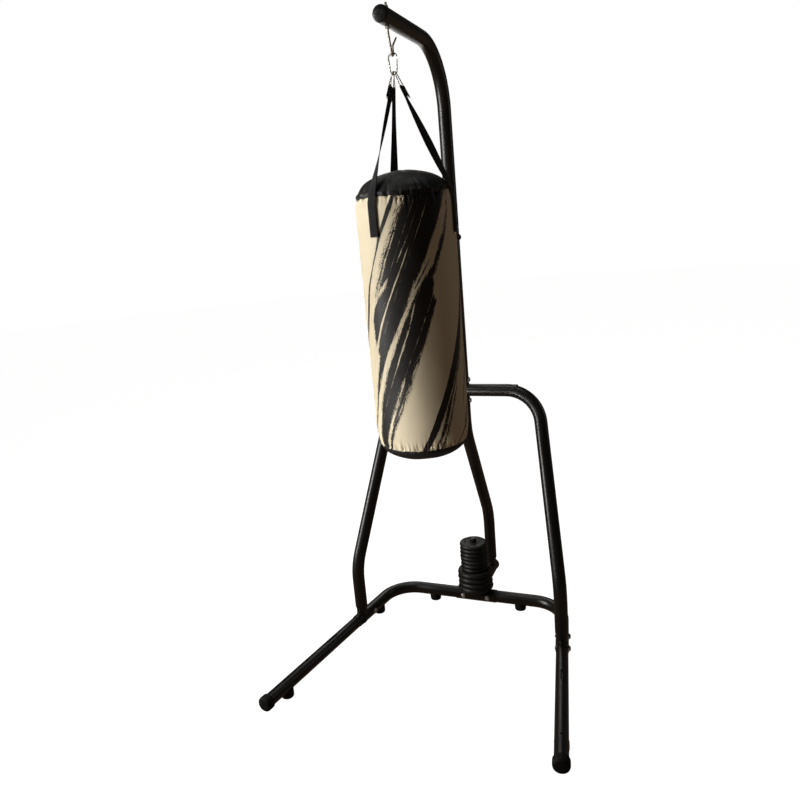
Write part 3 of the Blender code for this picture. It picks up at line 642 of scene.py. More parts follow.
def lathe_rings(profile, steps, place=Vector(), direction=UP, wobble=None):
    """Rings round an axis, from a profile of radius and height; a radius of nothing gives one point."""
    first, second = across_of(direction)
    rings = []
    for radius, height in profile:
        centre = place + direction * height
        if radius < 1e-6:
            rings.append([centre])
            continue
        ring = []
        for index in range(steps):
            turn = 2 * math.pi * index / steps
            reach = radius + (wobble(turn) if wobble else 0)
            ring.append(centre + (first * math.cos(turn) + second * math.sin(turn)) * reach)
        rings.append(ring)
    return rings


def softened(profile, radius, degrees=15):
    """The profile with its inner corners rounded."""
    corners = [Vector((reach, 0, height)) for reach, height in profile]
    radii = [0]
    for index in range(1, len(corners) - 1):
        short = min((corners[index] - corners[index - 1]).length, (corners[index + 1] - corners[index]).length)
        turn = (corners[index] - corners[index - 1]).angle(corners[index + 1] - corners[index], 0)
        room = short * 0.45 / max(math.tan(turn / 2), 1e-6)
        radii.append(min(radius, room) if turn > 0.05 else 0)
    radii.append(0)
    return [(point.x, point.z) for point in rounded_route(corners, radii, degrees)]


def lathe(name, profile, slot, place=Vector(), direction=UP, steps=64, sharp=SHARP, wobble=None, cyclic=False):
    points, faces = loft(lathe_rings(profile, steps, place, direction, wobble), cyclic)
    return outward(add_mesh(name, points, faces, slot, sharp))


def merge(name, made, *others):
    """One piece from several meshes that use the same material."""
    shape = bmesh.new()
    for piece in (made, *others):
        piece.data.transform(piece.matrix_world)
        shape.from_mesh(piece.data)
    shape.to_mesh(made.data)
    shape.free()
    made.matrix_world = Matrix.Identity(4)
    for piece in others:
        bpy.data.objects.remove(piece)
    made.name = name
    return made


def cut(made, *cutters):
    for cutter in cutters:
        knife = made.modifiers.new("cut", "BOOLEAN")
        knife.object = cutter
        knife.solver = "EXACT"
    bpy.context.view_layer.update()
    graph = bpy.context.evaluated_depsgraph_get()
    mesh = bpy.data.meshes.new_from_object(made.evaluated_get(graph))
    made.modifiers.clear()
    made.data = mesh
    mesh.set_sharp_from_angle(angle=math.radians(SHARP))
    for cutter in cutters:
        bpy.data.objects.remove(cutter)
    return made


def placed(made, body, *nodes):
    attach(made, body)
    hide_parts(*nodes)
    return made


def turned(node, profile, rounding, slot, place, out=UP):
    """A turned piece of the stand, its edges rounded, in place of one node."""
    return placed(lathe(f"{node}_detail", softened(profile, rounding), slot, place, out), "stand", node)


# ---------------------------------------------------------------- stand


WELD_STEPS = 120
SPIGOT_RISE = 0.080
BOSS_R = 0.022
# Distances along a floor tube from its leg
SLOT_REACH = (0.172, 0.222)
PIN_HOLE_REACH = 0.472
SIDE_FOOT_REACH = 0.118
FRONT_FOOT_REACH = 0.105  # Back from the front end


def weld(name, place, along, out, tube_r, branch_r, bead=0.0021):
    """Rippled weld bead where a branch leaves a tube at right angles."""
    side = along.cross(out)
    route = []
    radii = []
    for step in range(WELD_STEPS):
        turn = 2 * math.pi * step / WELD_STEPS
        reach = branch_r * math.sin(turn)
        rise = math.sqrt(max(tube_r**2 - reach**2, 0.0))
        route.append(place + along * branch_r * math.cos(turn) + side * reach + out * (rise + 0.0004))
        radii.append(bead * (1 + 0.13 * math.sin(turn * 34) + 0.08 * math.sin(turn * 5)))
    made = sweep(name, route, radii, sides=10, cyclic=True, sharp=60)
    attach(made, "stand")
    return made


def bolt(node, place, direction, radius, slot="zinc_steel"):
    """Washer and domed head with its hexagon socket; the threaded end stands a little out of the far side."""
    gap = direction * (radius + 0.0002)
    near, far = place + gap, place - gap
    head = (
        (0, 0.0038), (0.0024, 0.0038), (0.0030, 0.0062), (0.0050, 0.0060), (0.0074, 0.0046), (0.0088, 0.0022),
        (0.0088, 0.0011), (0, 0.0011),
    )
    shapes = (
        (((0, 0.0013), (0.0107, 0.0013), (0.0107, 0), (0, 0)), 36, near, direction),
        (head, 36, near, direction),
        (((0, 0.0014), (0.0056, 0.0014), (0.0064, 0.0006), (0.0064, 0), (0, 0)), 24, far, -direction),
        (((0, 0.0026), (0.0030, 0.0026), (0.0037, 0.0020), (0.0037, 0.0010), (0, 0.0010)), 24, far, -direction),
    )
    rings = (lathe_rings(softened(profile, 0.0008, 30), steps, start, out) for profile, steps, start, out in shapes)
    points, faces = joined(rings)
    return placed(outward(add_mesh(f"{node}_detail", points, faces, slot, 30)), "stand", node)


def foot(node, place):
    """Rubber foot, bowl shaped, with a moulded rim and a tread ring."""
    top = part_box(node)[1].z
    profile = (
        (0, top - 0.010), (0.0150, top - 0.008), (0.0200, top), (0.0222, top - 0.001), (0.0225, top - 0.005),
        (0.0216, top - 0.0062), (0.0224, top - 0.0074), (0.0222, 0.010), (0.0214, 0.003), (0.0200, 0.0),
        (0.0150, 0.0), (0.0140, 0.0012), (0, 0.0012),
    )
    turned(node, profile, 0.002, "black_rubber", Vector((place.x, place.y, 0)))


def plug(node, place, out, radius, collar=0.0):
    """End plug with a low dome and a rim; the rear one has a thick ribbed collar."""
    rib = ((0.97, 0.62), (0.97, 0.42), (0.99, 0.30)) if collar else ()
    profile = (
        (0, collar + 0.0044), (radius * 0.45, collar + 0.0041), (radius * 0.80, collar + 0.0031),
        (radius * 0.965, collar + 0.0017), (radius * 0.99, collar + 0.0006),
        *((radius * wide, collar * high) for wide, high in rib),
        (radius * 0.985, 0.0001), (TUBE_R - WALL - 0.0004, -0.0001), (TUBE_R - WALL - 0.0004, -0.015), (0, -0.015),
    )
    turned(node, profile, 0.0006, "black_plastic", place, out)


def front_cap(node, place, out):
    profile = (
        (0, 0.0117), (0.0130, 0.0115), (0.0205, 0.0103), (0.0248, 0.0066), (0.0258, 0.0020), (0.0258, -0.0085),
        (0.0249, -0.0093), (0.0249, -0.0105), (0.0258, -0.0113), (0.0256, -0.0175), (0.0222, -0.0180),
        (0.0222, -0.004), (0, -0.004),
    )
    turned(node, profile, 0.0022, "black_rubber", place, out)


def make_floor_frame():
    centre = Vector((0, REAR_TUBE_Y, FLOOR_TUBE_Z))
    for label, side in SIDES.items():
        run = on_side(FLOOR_RUN, side)
        across = Vector((-run.y, run.x, 0)) * side
        leg_place = on_side(LEG_FOOT, side)
        start = Vector((0.001 * side, REAR_TUBE_Y, FLOOR_TUBE_Z))
        corner = on_side(Vector((REAR_CORNER_X, REAR_TUBE_Y, FLOOR_TUBE_Z)), side)
        socket_end = leg_place + run * SOCKET_REACH
        route = rounded_route([start, corner, socket_end], [0, REAR_BEND_R, 0], 5)
        rear = sweep(f"rear_tube_{label}", route, TUBE_R)
        spigot = sweep(f"spigot_{label}", [leg_place, leg_place + UP * SPIGOT_RISE], SPIGOT_R, end="round")
        placed(merge(f"rear_tube_{label}", rear, spigot), "stand", f"rear_floor_tube_{label}")
        weld(f"leg_weld_{label}", leg_place, run, UP, TUBE_R, SPIGOT_R)

        front = sweep(f"front_tube_{label}", [socket_end - run * 0.03, on_side(FRONT_END, side)], FRONT_TUBE_R)
        slot_ends = [leg_place + run * reach + UP * 0.0200 for reach in SLOT_REACH]
        knives = [sweep("slot_knife", slot_ends, 0.0042, end="round")]
        pin = leg_place + run * PIN_HOLE_REACH + UP * 0.015
        knives.append(sweep("hole_knife", [pin, pin + UP * 0.03], 0.004, end="round"))
        placed(cut(front, *knives), "stand", f"front_floor_tube_{label}")

        # The heads all face right; those behind a leg or under it are painted over
        rightward = across if across.x > 0 else -across
        front_slot, rear_slot = ("zinc_steel", "black_paint") if side > 0 else ("black_paint", "zinc_steel")
        bolt(f"front_joint_bolt_{label}", leg_place + run * 0.020, rightward, TUBE_R, front_slot)
        bolt(f"rear_joint_bolt_{label}", leg_place - run * 0.054, rightward, TUBE_R, rear_slot)
        bolt(f"sleeve_bolt_{label}", middle(f"sleeve_bolt_{label}"), -BACK, SLEEVE_R)
        front_cap(f"front_cap_{label}", on_side(FRONT_END, side), run)
        foot(f"rear_foot_{label}", middle(f"rear_foot_{label}"))
        foot(f"side_foot_{label}", leg_place - run * SIDE_FOOT_REACH)
        foot(f"front_foot_{label}", on_side(FRONT_END, side) - run * FRONT_FOOT_REACH)

    reach = RIGHT * SLEEVE_HALF
    sleeve = sweep("centre_sleeve", [centre - reach, centre + reach], SLEEVE_R, wall=0.0020)
    stub_end = Vector((0, STUB_END_Y, FLOOR_TUBE_Z))
    mast_foot = Vector((0, MAST_FOOT_Y, FLOOR_TUBE_Z))
    stub = sweep("stub", [centre, stub_end], TUBE_R)
    spigot = sweep("mast_spigot", [mast_foot, mast_foot + UP * SPIGOT_RISE], SPIGOT_R, end="round")
    boss_outline = ((0, 0.0275), (BOSS_R, 0.0275), (BOSS_R, 0.0), (0, 0.0))
    boss = lathe("boss", softened(boss_outline, 0.001), "black_paint", centre)
    placed(merge("centre_sleeve", sleeve, stub, spigot, boss), "stand", "centre_bracket")
    weld("stub_weld", centre, RIGHT, BACK, SLEEVE_R, TUBE_R)
    weld("mast_weld", mast_foot, BACK, UP, TUBE_R, SPIGOT_R)
    weld("boss_weld", centre, RIGHT, UP, SLEEVE_R, BOSS_R, 0.0016)
    plug("rear_plug", stub_end, BACK, half_width("rear_plug"), STUB_COLLAR)
    foot("stub_foot", middle("stub_foot"))


def make_legs():
    for label, side in SIDES.items():
        foot_place = on_side(LEG_FOOT, side)
        bottom = Vector((foot_place.x, foot_place.y, TUBE_START_Z))
        knee = Vector((foot_place.x, foot_place.y, LEG_BEND_Z))
        corner = on_side(Vector((CROSSBAR_CORNER_X, CROSSBAR_Y, CROSSBAR_Z)), side)
        top = on_side(Vector((CROSSBAR_HALF + 0.0004, CROSSBAR_Y, CROSSBAR_Z)), side)
        route = rounded_route([bottom, knee, corner, top], [0, LEG_BEND_R, CROSSBAR_BEND_R, 0], 5)
        placed(sweep(f"leg_tube_{label}", route, TUBE_R), "stand", f"leg_{label}")


def make_mast():
    centre = Vector((0, CROSSBAR_Y, CROSSBAR_Z))
    reach = RIGHT * CROSSBAR_HALF
    placed(sweep("cross_tube", [centre - reach, centre + reach], TUBE_R), "stand", "crossbar")
    for label, out in (("upper", UP), ("lower", -UP)):
        weld(f"hub_weld_{label}", centre, RIGHT, out, TUBE_R, TUBE_R * 0.985, 0.0024)
    clear = TUBE_R + 0.0015
    corners = [
        Vector((0, MAST_FOOT_Y, TUBE_START_Z)),
        Vector((0, MAST_FOOT_Y, MAST_BEND_LOW_Z)),
        Vector((0, CROSSBAR_Y, MAST_BEND_HIGH_Z)),
        centre - UP * clear,
    ]
    route = rounded_route(corners, [0, MAST_BEND_R, MAST_BEND_R, 0], 4)
    placed(sweep("lower_mast_tube", route, TUBE_R), "stand", "lower_mast")
    joint = Vector((0, CROSSBAR_Y, MAST_JOINT_Z))
    upper = sweep("upper_mast_tube", [centre + UP * clear, joint - UP * 0.0006], TUBE_R)
    placed(upper, "stand", "upper_mast")
    arm_corner = Vector((0, CROSSBAR_Y, ARM_Z))
    arm_end = Vector((0, ARM_END_Y, ARM_Z))
    route = rounded_route([joint + UP * 0.0006, arm_corner, arm_end], [0, ARM_BEND_R, 0], 4)
    arm = sweep("arm_tube", route, TUBE_R)
    neck = sweep("arm_neck", [joint - UP * 0.02, joint + UP * 0.02], SPIGOT_R, end="round")
    placed(merge("arm_tube", arm, neck), "stand", "arm")
    plug("arm_plug", arm_end, -BACK, TUBE_R)
    bolt("arm_joint_bolt", joint - UP * 0.035, RIGHT, TUBE_R, "black_paint")
    for label, rise in (("lower", -0.040), ("upper", 0.040)):
        bolt(f"hub_bolt_{label}", centre + UP * rise, RIGHT, TUBE_R)


# ---------------------------------------------------------------- hanging gear


THREAD_TURNS = 14
THREAD_STEPS = 16
THREAD_PITCH = 0.00125
# Snap hook and rings are drawn a little thinner than the CAD, so that they clear each other when the bag swings
SNAP_EASE = 0.00015
RING_EASE = 0.0002


def hex_nut(node, place, out):
    across, thick, bore = 0.0072, 0.0062, HOOK_R + 0.0002
    profile = softened((
        (bore, thick), (across * 0.84, thick), (across, thick * 0.86), (across, thick * 0.14),
        (across * 0.84, 0), (bore, 0), (bore, thick),
    ), 0.0004, 30)
    made = lathe(f"{node}_detail", profile[:-1], "zinc_steel", place, out, steps=6, sharp=20, cyclic=True)
    placed(made, "hook", node)


def make_hook():
    low = HOOK_PIVOT_Z
    corners = [
        Vector((0, STEM_Y, HOOK_TOP_Z - HOOK_R * 0.6)),
        Vector((0, STEM_Y, ARM_Z - TUBE_R - 0.012)),
        Vector((0, BAG_Y - HOOK_BEND_R, low + 0.010)),
        Vector((0, BAG_Y - HOOK_BEND_R, low)),
        Vector((0, BAG_Y + HOOK_BEND_R, low)),
        Vector((0, BAG_Y + HOOK_BEND_R, low + 0.026)),
        Vector((0, BAG_Y + 0.040, low + 0.054)),
    ]
    bend = HOOK_BEND_R * 0.98
    route = rounded_route(corners, [0, 0.020, 0.012, bend, bend, 0.012, 0], 8)
    lengths = [0.0]
    for before, after in zip(route, route[1:]):
        lengths.append(lengths[-1] + (after - before).length)
    shares = [length / lengths[-1] for length in lengths]
    radii = [HOOK_R * (1 - 0.32 * max(0, (share - 0.72) / 0.28)) for share in shares]
    hook = sweep("hook_rod", route, radii, "zinc_steel", sides=24, end="round")
    threads = []
    for step in range(THREAD_TURNS * THREAD_STEPS):
        turn = 2 * math.pi * step / THREAD_STEPS
        height = HOOK_TOP_Z - 0.002 - THREAD_PITCH * step / THREAD_STEPS
        threads.append(Vector((math.cos(turn) * HOOK_R, STEM_Y + math.sin(turn) * HOOK_R, height)))
    thread = sweep("hook_thread", threads, 0.00042, "zinc_steel", sides=6, end="round")
    placed(merge("hook_rod", hook, thread), "hook", "bag_hook")
    hex_nut("hook_top_nut", Vector((0, STEM_Y, ARM_Z + TUBE_R + 0.0003)), UP)
    hex_nut("hook_lower_nut", Vector((0, STEM_Y, ARM_Z - TUBE_R - 0.0003)), -UP)


def make_snap_hook():
    top_centre = SNAP_TOP_Z - SNAP_TOP_R
    bottom_centre = SNAP_BOTTOM_Z + SNAP_BOTTOM_R

    def around(centre_z, radius, degrees):
        turn = math.radians(degrees)
        return Vector((radius * math.sin(turn), BAG_Y, centre_z + radius * math.cos(turn)))

    route = [around(top_centre, SNAP_TOP_R, angle) for angle in range(70, -91, -8)]
    route += [around(bottom_centre, SNAP_BOTTOM_R, angle) for angle in range(-90, -261, -10)]
    snap = sweep("snap_frame", route, SNAP_R - SNAP_EASE, "zinc_steel", sides=20, end="round")
    pivot = middle("gate_pin")
    head = [(0, 0.0036), (0.0013, 0.0036), (0.0016, 0.0030), (0.0016, 0.0026), (0.0008, 0.0026)]
    pin_profile = softened(head + [(reach, -height) for reach, height in reversed(head)], 0.0003)
    placed(lathe("gate_rivet", pin_profile, "zinc_steel", pivot, BACK, 24), "snap", "gate_pin")
    placed(snap, "snap", "snap_hook")
    tip = Vector((SNAP_TOP_R - 0.0005, BAG_Y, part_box("snap_hook_gate")[1].z - 0.0018))
    gate = sweep("gate_wire", [pivot, pivot.lerp(tip, 0.5), tip], 0.0019, "zinc_steel", sides=16, end="round")
    square = ((0.0010, 0.0017), (0.0026, 0.0017), (0.0026, -0.0017), (0.0010, -0.0017), (0.0010, 0.0017))
    eye = lathe("gate_eye", softened(square, 0.0003)[:-1], "zinc_steel", pivot, BACK, 24, cyclic=True)
    placed(merge("gate_wire", gate, eye), "gate", "snap_hook_gate")


def ring_top(label):
    offset = {"right": RING_SPACING, "left": 0, "rear": -RING_SPACING}[label]
    lift = SNAP_BOTTOM_R - math.sqrt(SNAP_BOTTOM_R**2 - offset**2)
    return Vector((offset, BAG_Y, SNAP_BOTTOM_Z + lift + SNAP_R + RING_R + 0.0015))


def rim_point(azimuth):
    reach = HIGH_SEAM_R + 0.0022
    return Vector((math.cos(azimuth) * reach, BAG_Y + math.sin(azimuth) * reach, BAG_HIGH_SEAM_Z + 0.012))


def ring_axes(label):
    down = (rim_point(STRAPS[label][0]) - ring_top(label)).normalized()
    across = (BACK - down * BACK.dot(down)).normalized()
    return down, across


def make_rings():
    for label in STRAPS:
        down, across = ring_axes(label)
        top = ring_top(label)
        apex_half = RING_ARCH_R * 0.95
        corners = [
            top - across * apex_half,
            top + across * apex_half,
            top + down * RING_LENGTH + across * RING_HALF,
            top + down * RING_LENGTH - across * RING_HALF,
        ]
        radii = [RING_ARCH_R * 0.62, RING_ARCH_R * 0.62, RING_CORNER_R, RING_CORNER_R]
        route = rounded_route(corners, radii, 12)
        ring = sweep(f"ring_{label}", route, RING_R - RING_EASE, "zinc_steel", sides=16, cyclic=True)
        placed(ring, "bag", f"strap_ring_{label}")


BAG_AXIS = Vector((0, BAG_Y, 0))
STANDOFF = BAG_R + 0.0016 + STRAP_THICK / 2
LOOP_R = RING_R + STRAP_THICK / 2 + 0.0004
TWIST_STEPS = 24
FRAY_THREADS = 26
THREAD_R = 0.0004
STITCH = 0.0036
STITCH_PITCH = 0.0052


def tape(name, sections):
    """A woven tape: each section is its centre, its width's direction, its normal and its width."""
    outline = (
        (-0.5, -0.30), (-0.485, -0.5), (-0.25, -0.5), (0, -0.5), (0.25, -0.5), (0.485, -0.5), (0.5, -0.30),
        (0.5, 0.30), (0.485, 0.5), (0.25, 0.5), (0, 0.5), (-0.25, 0.5), (-0.485, 0.5), (-0.5, 0.30),
    )
    rings = []
    length = [0.0]
    for index, (centre, wide, normal, width) in enumerate(sections):
        if index:
            length.append(length[-1] + (centre - sections[index - 1][0]).length)
        rings.append([centre + wide * width * x + normal * STRAP_THICK * y for x, y in outline])
    points, faces = loft(rings)
    count = len(outline)
    faces.append(tuple(range(count))[::-1])
    faces.append(tuple(len(points) - count + index for index in range(count)))
    made = add_mesh(name, points, faces, "black_webbing", 50)
    layer = made.data.uv_layers.new(name="Weave")
    for loop in made.data.loops:
        ring, corner = divmod(loop.vertex_index, count)
        layer.data[loop.index].uv = (outline[corner][0] * sections[ring][3], length[ring])
    return outward(made)


def eased(sections, between=4):
    """More sections, on a smooth curve through the given ones."""
    result = []
    count = len(sections)
    for index in range(count - 1):
        picks = [sections[max(0, min(count - 1, index + step))] for step in (-1, 0, 1, 2)]
        for step in range(between):
            part = step / between
            a, b, c, d = (pick[0] for pick in picks)
            bend = (2 * a - 5 * b + 4 * c - d) * part**2 + (3 * b - a - 3 * c + d) * part**3
            place = 0.5 * (2 * b + (c - a) * part + bend)
            wide = picks[1][1].lerp(picks[2][1], part).normalized()
            normal = picks[1][2].lerp(picks[2][2], part)
            normal = (normal - wide * normal.dot(wide)).normalized()
            result.append((place, wide, normal, picks[1][3] * (1 - part) + picks[2][3] * part))
    result.append(sections[-1])
    return result


def stitches(name, runs):
    """Short thread stitches along straight runs; each run is two ends and the normal."""
    sets = []
    for start, end, normal in runs:
        run = (end - start).normalized()
        ease = normal * THREAD_R
        for index in range(max(1, int((end - start).length / STITCH_PITCH))):
            near = start + run * STITCH_PITCH * index
            far = near + run * STITCH
            route = [near - ease, near + run * STITCH * 0.25 + ease, near + run * STITCH * 0.75 + ease, far - ease]
            sets.append(sweep_rings(route, THREAD_R, 6, end="round"))
    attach(outward(add_mesh(name, *joined(sets), "black_webbing", 60)), "bag")


def strap_axes(label):
    """A strap's directions on the bag and at its ring, and the middle of the ring's lower bar."""
    azimuth = STRAPS[label][0]
    out = Vector((math.cos(azimuth), math.sin(azimuth), 0))
    tangent = Vector((-math.sin(azimuth), math.cos(azimuth), 0))
    down, across = ring_axes(label)
    outer = down.cross(across)
    return (
        out, tangent if across.dot(tangent) >= 0 else -tangent, down, across,
        outer if outer.dot(out) >= 0 else -outer, ring_top(label) + down * RING_LENGTH,
    )


def strap_sections(label, end_z):
    """From the loose end, round the ring's bar, twisting down to the rim and along the bag."""
    out, tangent, down, across, outer, bar = strap_axes(label)
    sections = []
    for reach in (0.030, 0.020, 0.010, 0.0):
        flare = 0.0012 * (reach / 0.030) ** 2
        sections.append((bar + outer * (LOOP_R + flare) + down * reach, across, outer, LOOP_WIDTH))
    for angle in range(30, 181, 30):
        turn = math.radians(angle)
        normal = outer * math.cos(turn) - down * math.sin(turn)
        sections.append((bar + normal * LOOP_R, across, normal, LOOP_WIDTH))
    sections.append((bar - outer * LOOP_R + down * 0.012, across, -outer, LOOP_WIDTH))

    start = bar - outer * (LOOP_R - 0.0002) + down * 0.036
    rim = rim_point(STRAPS[label][0]) + out * 0.0006
    run = (rim - start).normalized()
    for step in range(TWIST_STEPS + 1):
        part = step / TWIST_STEPS
        wide = across.slerp(tangent, part**1.8)
        wide = Matrix.Rotation(STRAPS[label][1] * math.sin(math.pi * part), 3, run) @ wide
        wide = (wide - run * wide.dot(run)).normalized()
        normal = wide.cross(run)
        if sections[-1][2].dot(normal) < 0:
            normal = -normal
        width = LOOP_WIDTH + (STRAP_WIDTH - LOOP_WIDTH) * min(1, part * 2)
        sections.append((start.lerp(rim, part), wide, normal, width))

    lay_z = BAG_HIGH_SEAM_Z - 0.028
    lay = [(HIGH_SEAM_R + 0.0034, BAG_HIGH_SEAM_Z), (STANDOFF - 0.0012, BAG_HIGH_SEAM_Z - 0.011), (STANDOFF, lay_z)]
    lay += [(STANDOFF, lay_z + (end_z - lay_z) * part) for part in (0.33, 0.66, 1.0)]
    for reach, height in lay:
        sections.append((BAG_AXIS + out * reach + UP * height, tangent, -out, STRAP_WIDTH))
    return sections


def strap_seams(label, end_z):
    """A crossed square of stitches on the bag, and four rows under the ring."""
    out, tangent, down, across, outer, bar = strap_axes(label)
    face = BAG_AXIS + out * (STANDOFF + STRAP_THICK / 2)
    left = tangent * (STRAP_WIDTH / 2 - 0.003)
    high, low = UP * (end_z + 0.038), UP * (end_z + 0.004)
    corners = [face - left + high, face + left + high, face + left + low, face - left + low]
    runs = [(corners[index], corners[(index + 1) % 4], out) for index in range(4)]
    runs += [(corners[0], corners[2], out), (corners[1], corners[3], out)]
    stitches(f"strap_stitches_{label}", runs)
    face = bar + outer * (LOOP_R + STRAP_THICK / 2 + 0.0003)
    half = across * (LOOP_WIDTH / 2 - 0.003)
    rows = [face + down * reach for reach in (0.010, 0.013, 0.022, 0.025)]
    stitches(f"loop_stitches_{label}", [(row - half, row + half, outer) for row in rows])


def strap_fray(label):
    """Loose threads at the cut end."""
    _, _, down, across, outer, bar = strap_axes(label)
    generator = random.Random(label)
    tail = bar + outer * (LOOP_R + 0.0012) + down * 0.0295
    sets = []
    for index in range(FRAY_THREADS):
        spot = tail + across * LOOP_WIDTH * ((index + 0.5) / FRAY_THREADS - 0.5)
        drift = across * generator.uniform(-0.002, 0.002) + outer * generator.uniform(-0.0005, 0.002)
        route = [spot, spot + down * 0.0025 + drift * 0.4, spot + down * generator.uniform(0.004, 0.0075) + drift]
        sets.append(sweep_rings(route, 0.00022, 5, end="round"))
    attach(outward(add_mesh(f"strap_fray_{label}", *joined(sets), "black_webbing", 60)), "bag")


def make_straps():
    for label in STRAPS:
        end_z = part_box(f"strap_{label}")[0].z
        strap = tape(f"strap_tape_{label}", eased(strap_sections(label, end_z), 3))
        placed(strap, "bag", f"strap_{label}")
        strap_seams(label, end_z)
        strap_fray(label)


# ---------------------------------------------------------------- bag


BAG_TURNS = 192
ROW_SPACING = 0.0052
SWELL_FRAMES = 14
SWELL_LIMIT = 0.0055
SKIN_LIMIT = BAG_R + 0.0007
SEAM_TUCK = 0.0035
CLOTH = {
    "quality": 4,
    "mass": 0.25,
    "tension_stiffness": 18,
    "compression_stiffness": 14,
    "shear_stiffness": 8,
    "bending_stiffness": 0.35,
    "use_pressure": True,
    "uniform_pressure_force": 4.0,
    "vertex_group_mass": "held",
    "vertex_group_shrink": "loose",
    "shrink_min": 0.0,
    "shrink_max": -0.085,
    "air_damping": 4,
}
# Gathers beside the seams, before the swelling and after it: seed, seam, piece, count, depth, width and reach
GATHERS = (
    ("cover", "high", "cover", 34, 0.0065, 0.050, 0.055),
    ("cover edge", "high", "cover", 78, 0.0040, 0.018, 0.018),
    ("skin top", "high", "skin", 64, 0.0046, 0.021, 0.032),
    ("skin bottom", "low", "skin", 70, 0.0080, 0.016, 0.034),
    ("cap", "low", "cap", 60, 0.0022, 0.024, 0.020),
)
PUCKERS = (
    ("pucker low", "low", "skin", 92, 0.0064, 0.021, 0.026),
    ("pucker high", "high", "skin", 84, 0.0030, 0.022, 0.026),
    ("pucker cover", "high", "cover", 64, 0.0020, 0.020, 0.026),
    ("pucker cap", "low", "cap", 72, 0.0020, 0.024, 0.016),
)
# How far each strap draws the top seam up, and how far round the bag
STRAP_PULL = {"right": (0.0105, 0.42), "left": (0.0030, 0.30), "rear": (0.0070, 0.42)}


def creases(seed, count):
    """Irregular gathers round a seam: place, depth, width and length of each."""
    generator = random.Random(seed)
    found = []
    for index in range(count):
        turn = (index + generator.uniform(-0.42, 0.42)) * 2 * math.pi / count
        deep = generator.uniform(0.15, 1.0) ** 1.3
        found.append((turn, deep, generator.uniform(0.55, 1.25), generator.uniform(0.35, 1.0)))
    return found


def crease_field(turns, distance, found, depth, width, reach):
    """How far the surface is drawn in by the gathers, at each distance from the seam and each turn."""
    field = np.zeros((len(distance), len(turns)))
    for turn, deep, wide, long in found:
        slant = distance[:, None] * 2.2 * (wide - 0.9)
        apart = np.angle(np.exp(1j * (turns[None, :] - turn - slant)))
        fading = np.exp(-((distance / (reach * long)) ** 1.7))[:, None]
        field += depth * deep * fading * np.exp(-((apart / (width * wide)) ** 2))
    return field


def gathered(turns, table, gaps, pieces):
    """All the gathers of a table together."""
    return sum(
        crease_field(turns, gaps[seam], creases(seed, count), *shape) * pieces[piece][:, None]
        for seed, seam, piece, count, *shape in table
    )


def waves(turns, heights, seed, size, spans):
    """Broad soft unevenness of a stuffed surface."""
    generator = random.Random(seed)
    field = np.zeros((len(heights), len(turns)))
    for around, along in spans:
        phase = generator.uniform(0, 2 * math.pi)
        tilt = generator.uniform(0, 2 * math.pi)
        drift = np.sin(along * heights[:, None] + tilt)
        field += np.sin(around * turns[None, :] + phase + drift * 1.3) * np.cos(along * heights[:, None] + tilt)
    return field * size / len(spans)


def profile_rows(outline):
    """Points along an outline, about ROW_SPACING apart."""
    places = [Vector((radius, 0, height)) for radius, height in outline]
    rows = [places[0]]
    for before, after in zip(places, places[1:]):
        steps = max(1, round((after - before).length / ROW_SPACING))
        rows += [before.lerp(after, step / steps) for step in range(1, steps + 1)]
    return [(row.x, row.z) for row in rows]


def bag_grid():
    """Rows of radius and height from the top's middle to the bottom's, and the rows of the two seams."""
    rise = BAG_TOP_Z - BAG_HIGH_SEAM_Z
    drop = BAG_LOW_SEAM_Z - BAG_BOTTOM_Z
    quarter = [(math.sin(angle), math.cos(angle)) for angle in np.linspace(0.0, math.pi / 2, 24)]
    dome = profile_rows([(HIGH_SEAM_R * s**0.92, BAG_HIGH_SEAM_Z + rise * c**1.12) for s, c in quarter])
    wall = rounded_route([
        Vector((HIGH_SEAM_R, 0, BAG_HIGH_SEAM_Z)),
        Vector((WALL_R, 0, BAG_HIGH_SEAM_Z - 0.024)),
        Vector((WALL_R, 0, BAG_LOW_SEAM_Z + 0.048)),
        Vector((LOW_SEAM_R, 0, BAG_LOW_SEAM_Z)),
    ], [0, 0.03, 0.08, 0], 6)
    wall = profile_rows([(point.x, point.z) for point in wall])
    cap = profile_rows([(LOW_SEAM_R * s**0.88, BAG_LOW_SEAM_Z - drop * c**1.15) for s, c in reversed(quarter)])
    rows = dome + wall[1:] + cap[1:]
    return np.array(rows), len(dome) - 1, len(dome) + len(wall) - 2


def refined(grid):
    """Twice as many points round each row, on a smooth curve through the old ones."""
    near = grid + np.roll(grid, -1, axis=1)
    far = np.roll(grid, 1, axis=1) + np.roll(grid, -2, axis=1)
    fine = np.empty((grid.shape[0], grid.shape[1] * 2, 3))
    fine[:, 0::2] = grid
    fine[:, 1::2] = (9 * near - far) / 16
    return fine


def swell(made, pinned, slack):
    """Cloth with air pressure inside; the seams hold still and the slack beside them gathers."""
    held = made.vertex_groups.new(name="held")
    held.add(pinned, 1.0, "REPLACE")
    loose = made.vertex_groups.new(name="loose")
    for index, weight in slack.items():
        loose.add([index], weight, "REPLACE")
    cloth = made.modifiers.new("cloth", "CLOTH")
    settings = cloth.settings
    for key, value in CLOTH.items():
        setattr(settings, key, value)
    settings.effector_weights.gravity = 0
    cloth.point_cache.frame_start = 1
    cloth.point_cache.frame_end = SWELL_FRAMES
    scene = bpy.context.scene
    for step in range(1, SWELL_FRAMES + 1):
        scene.frame_set(step)
    graph = bpy.context.evaluated_depsgraph_get()
    moved = made.evaluated_get(graph).to_mesh()
    places = np.empty(len(moved.vertices) * 3)
    moved.vertices.foreach_get("co", places)
    made.evaluated_get(graph).to_mesh_clear()
    made.modifiers.clear()
    made.vertex_groups.clear()
    scene.frame_set(1)
    return places.reshape(-1, 3)


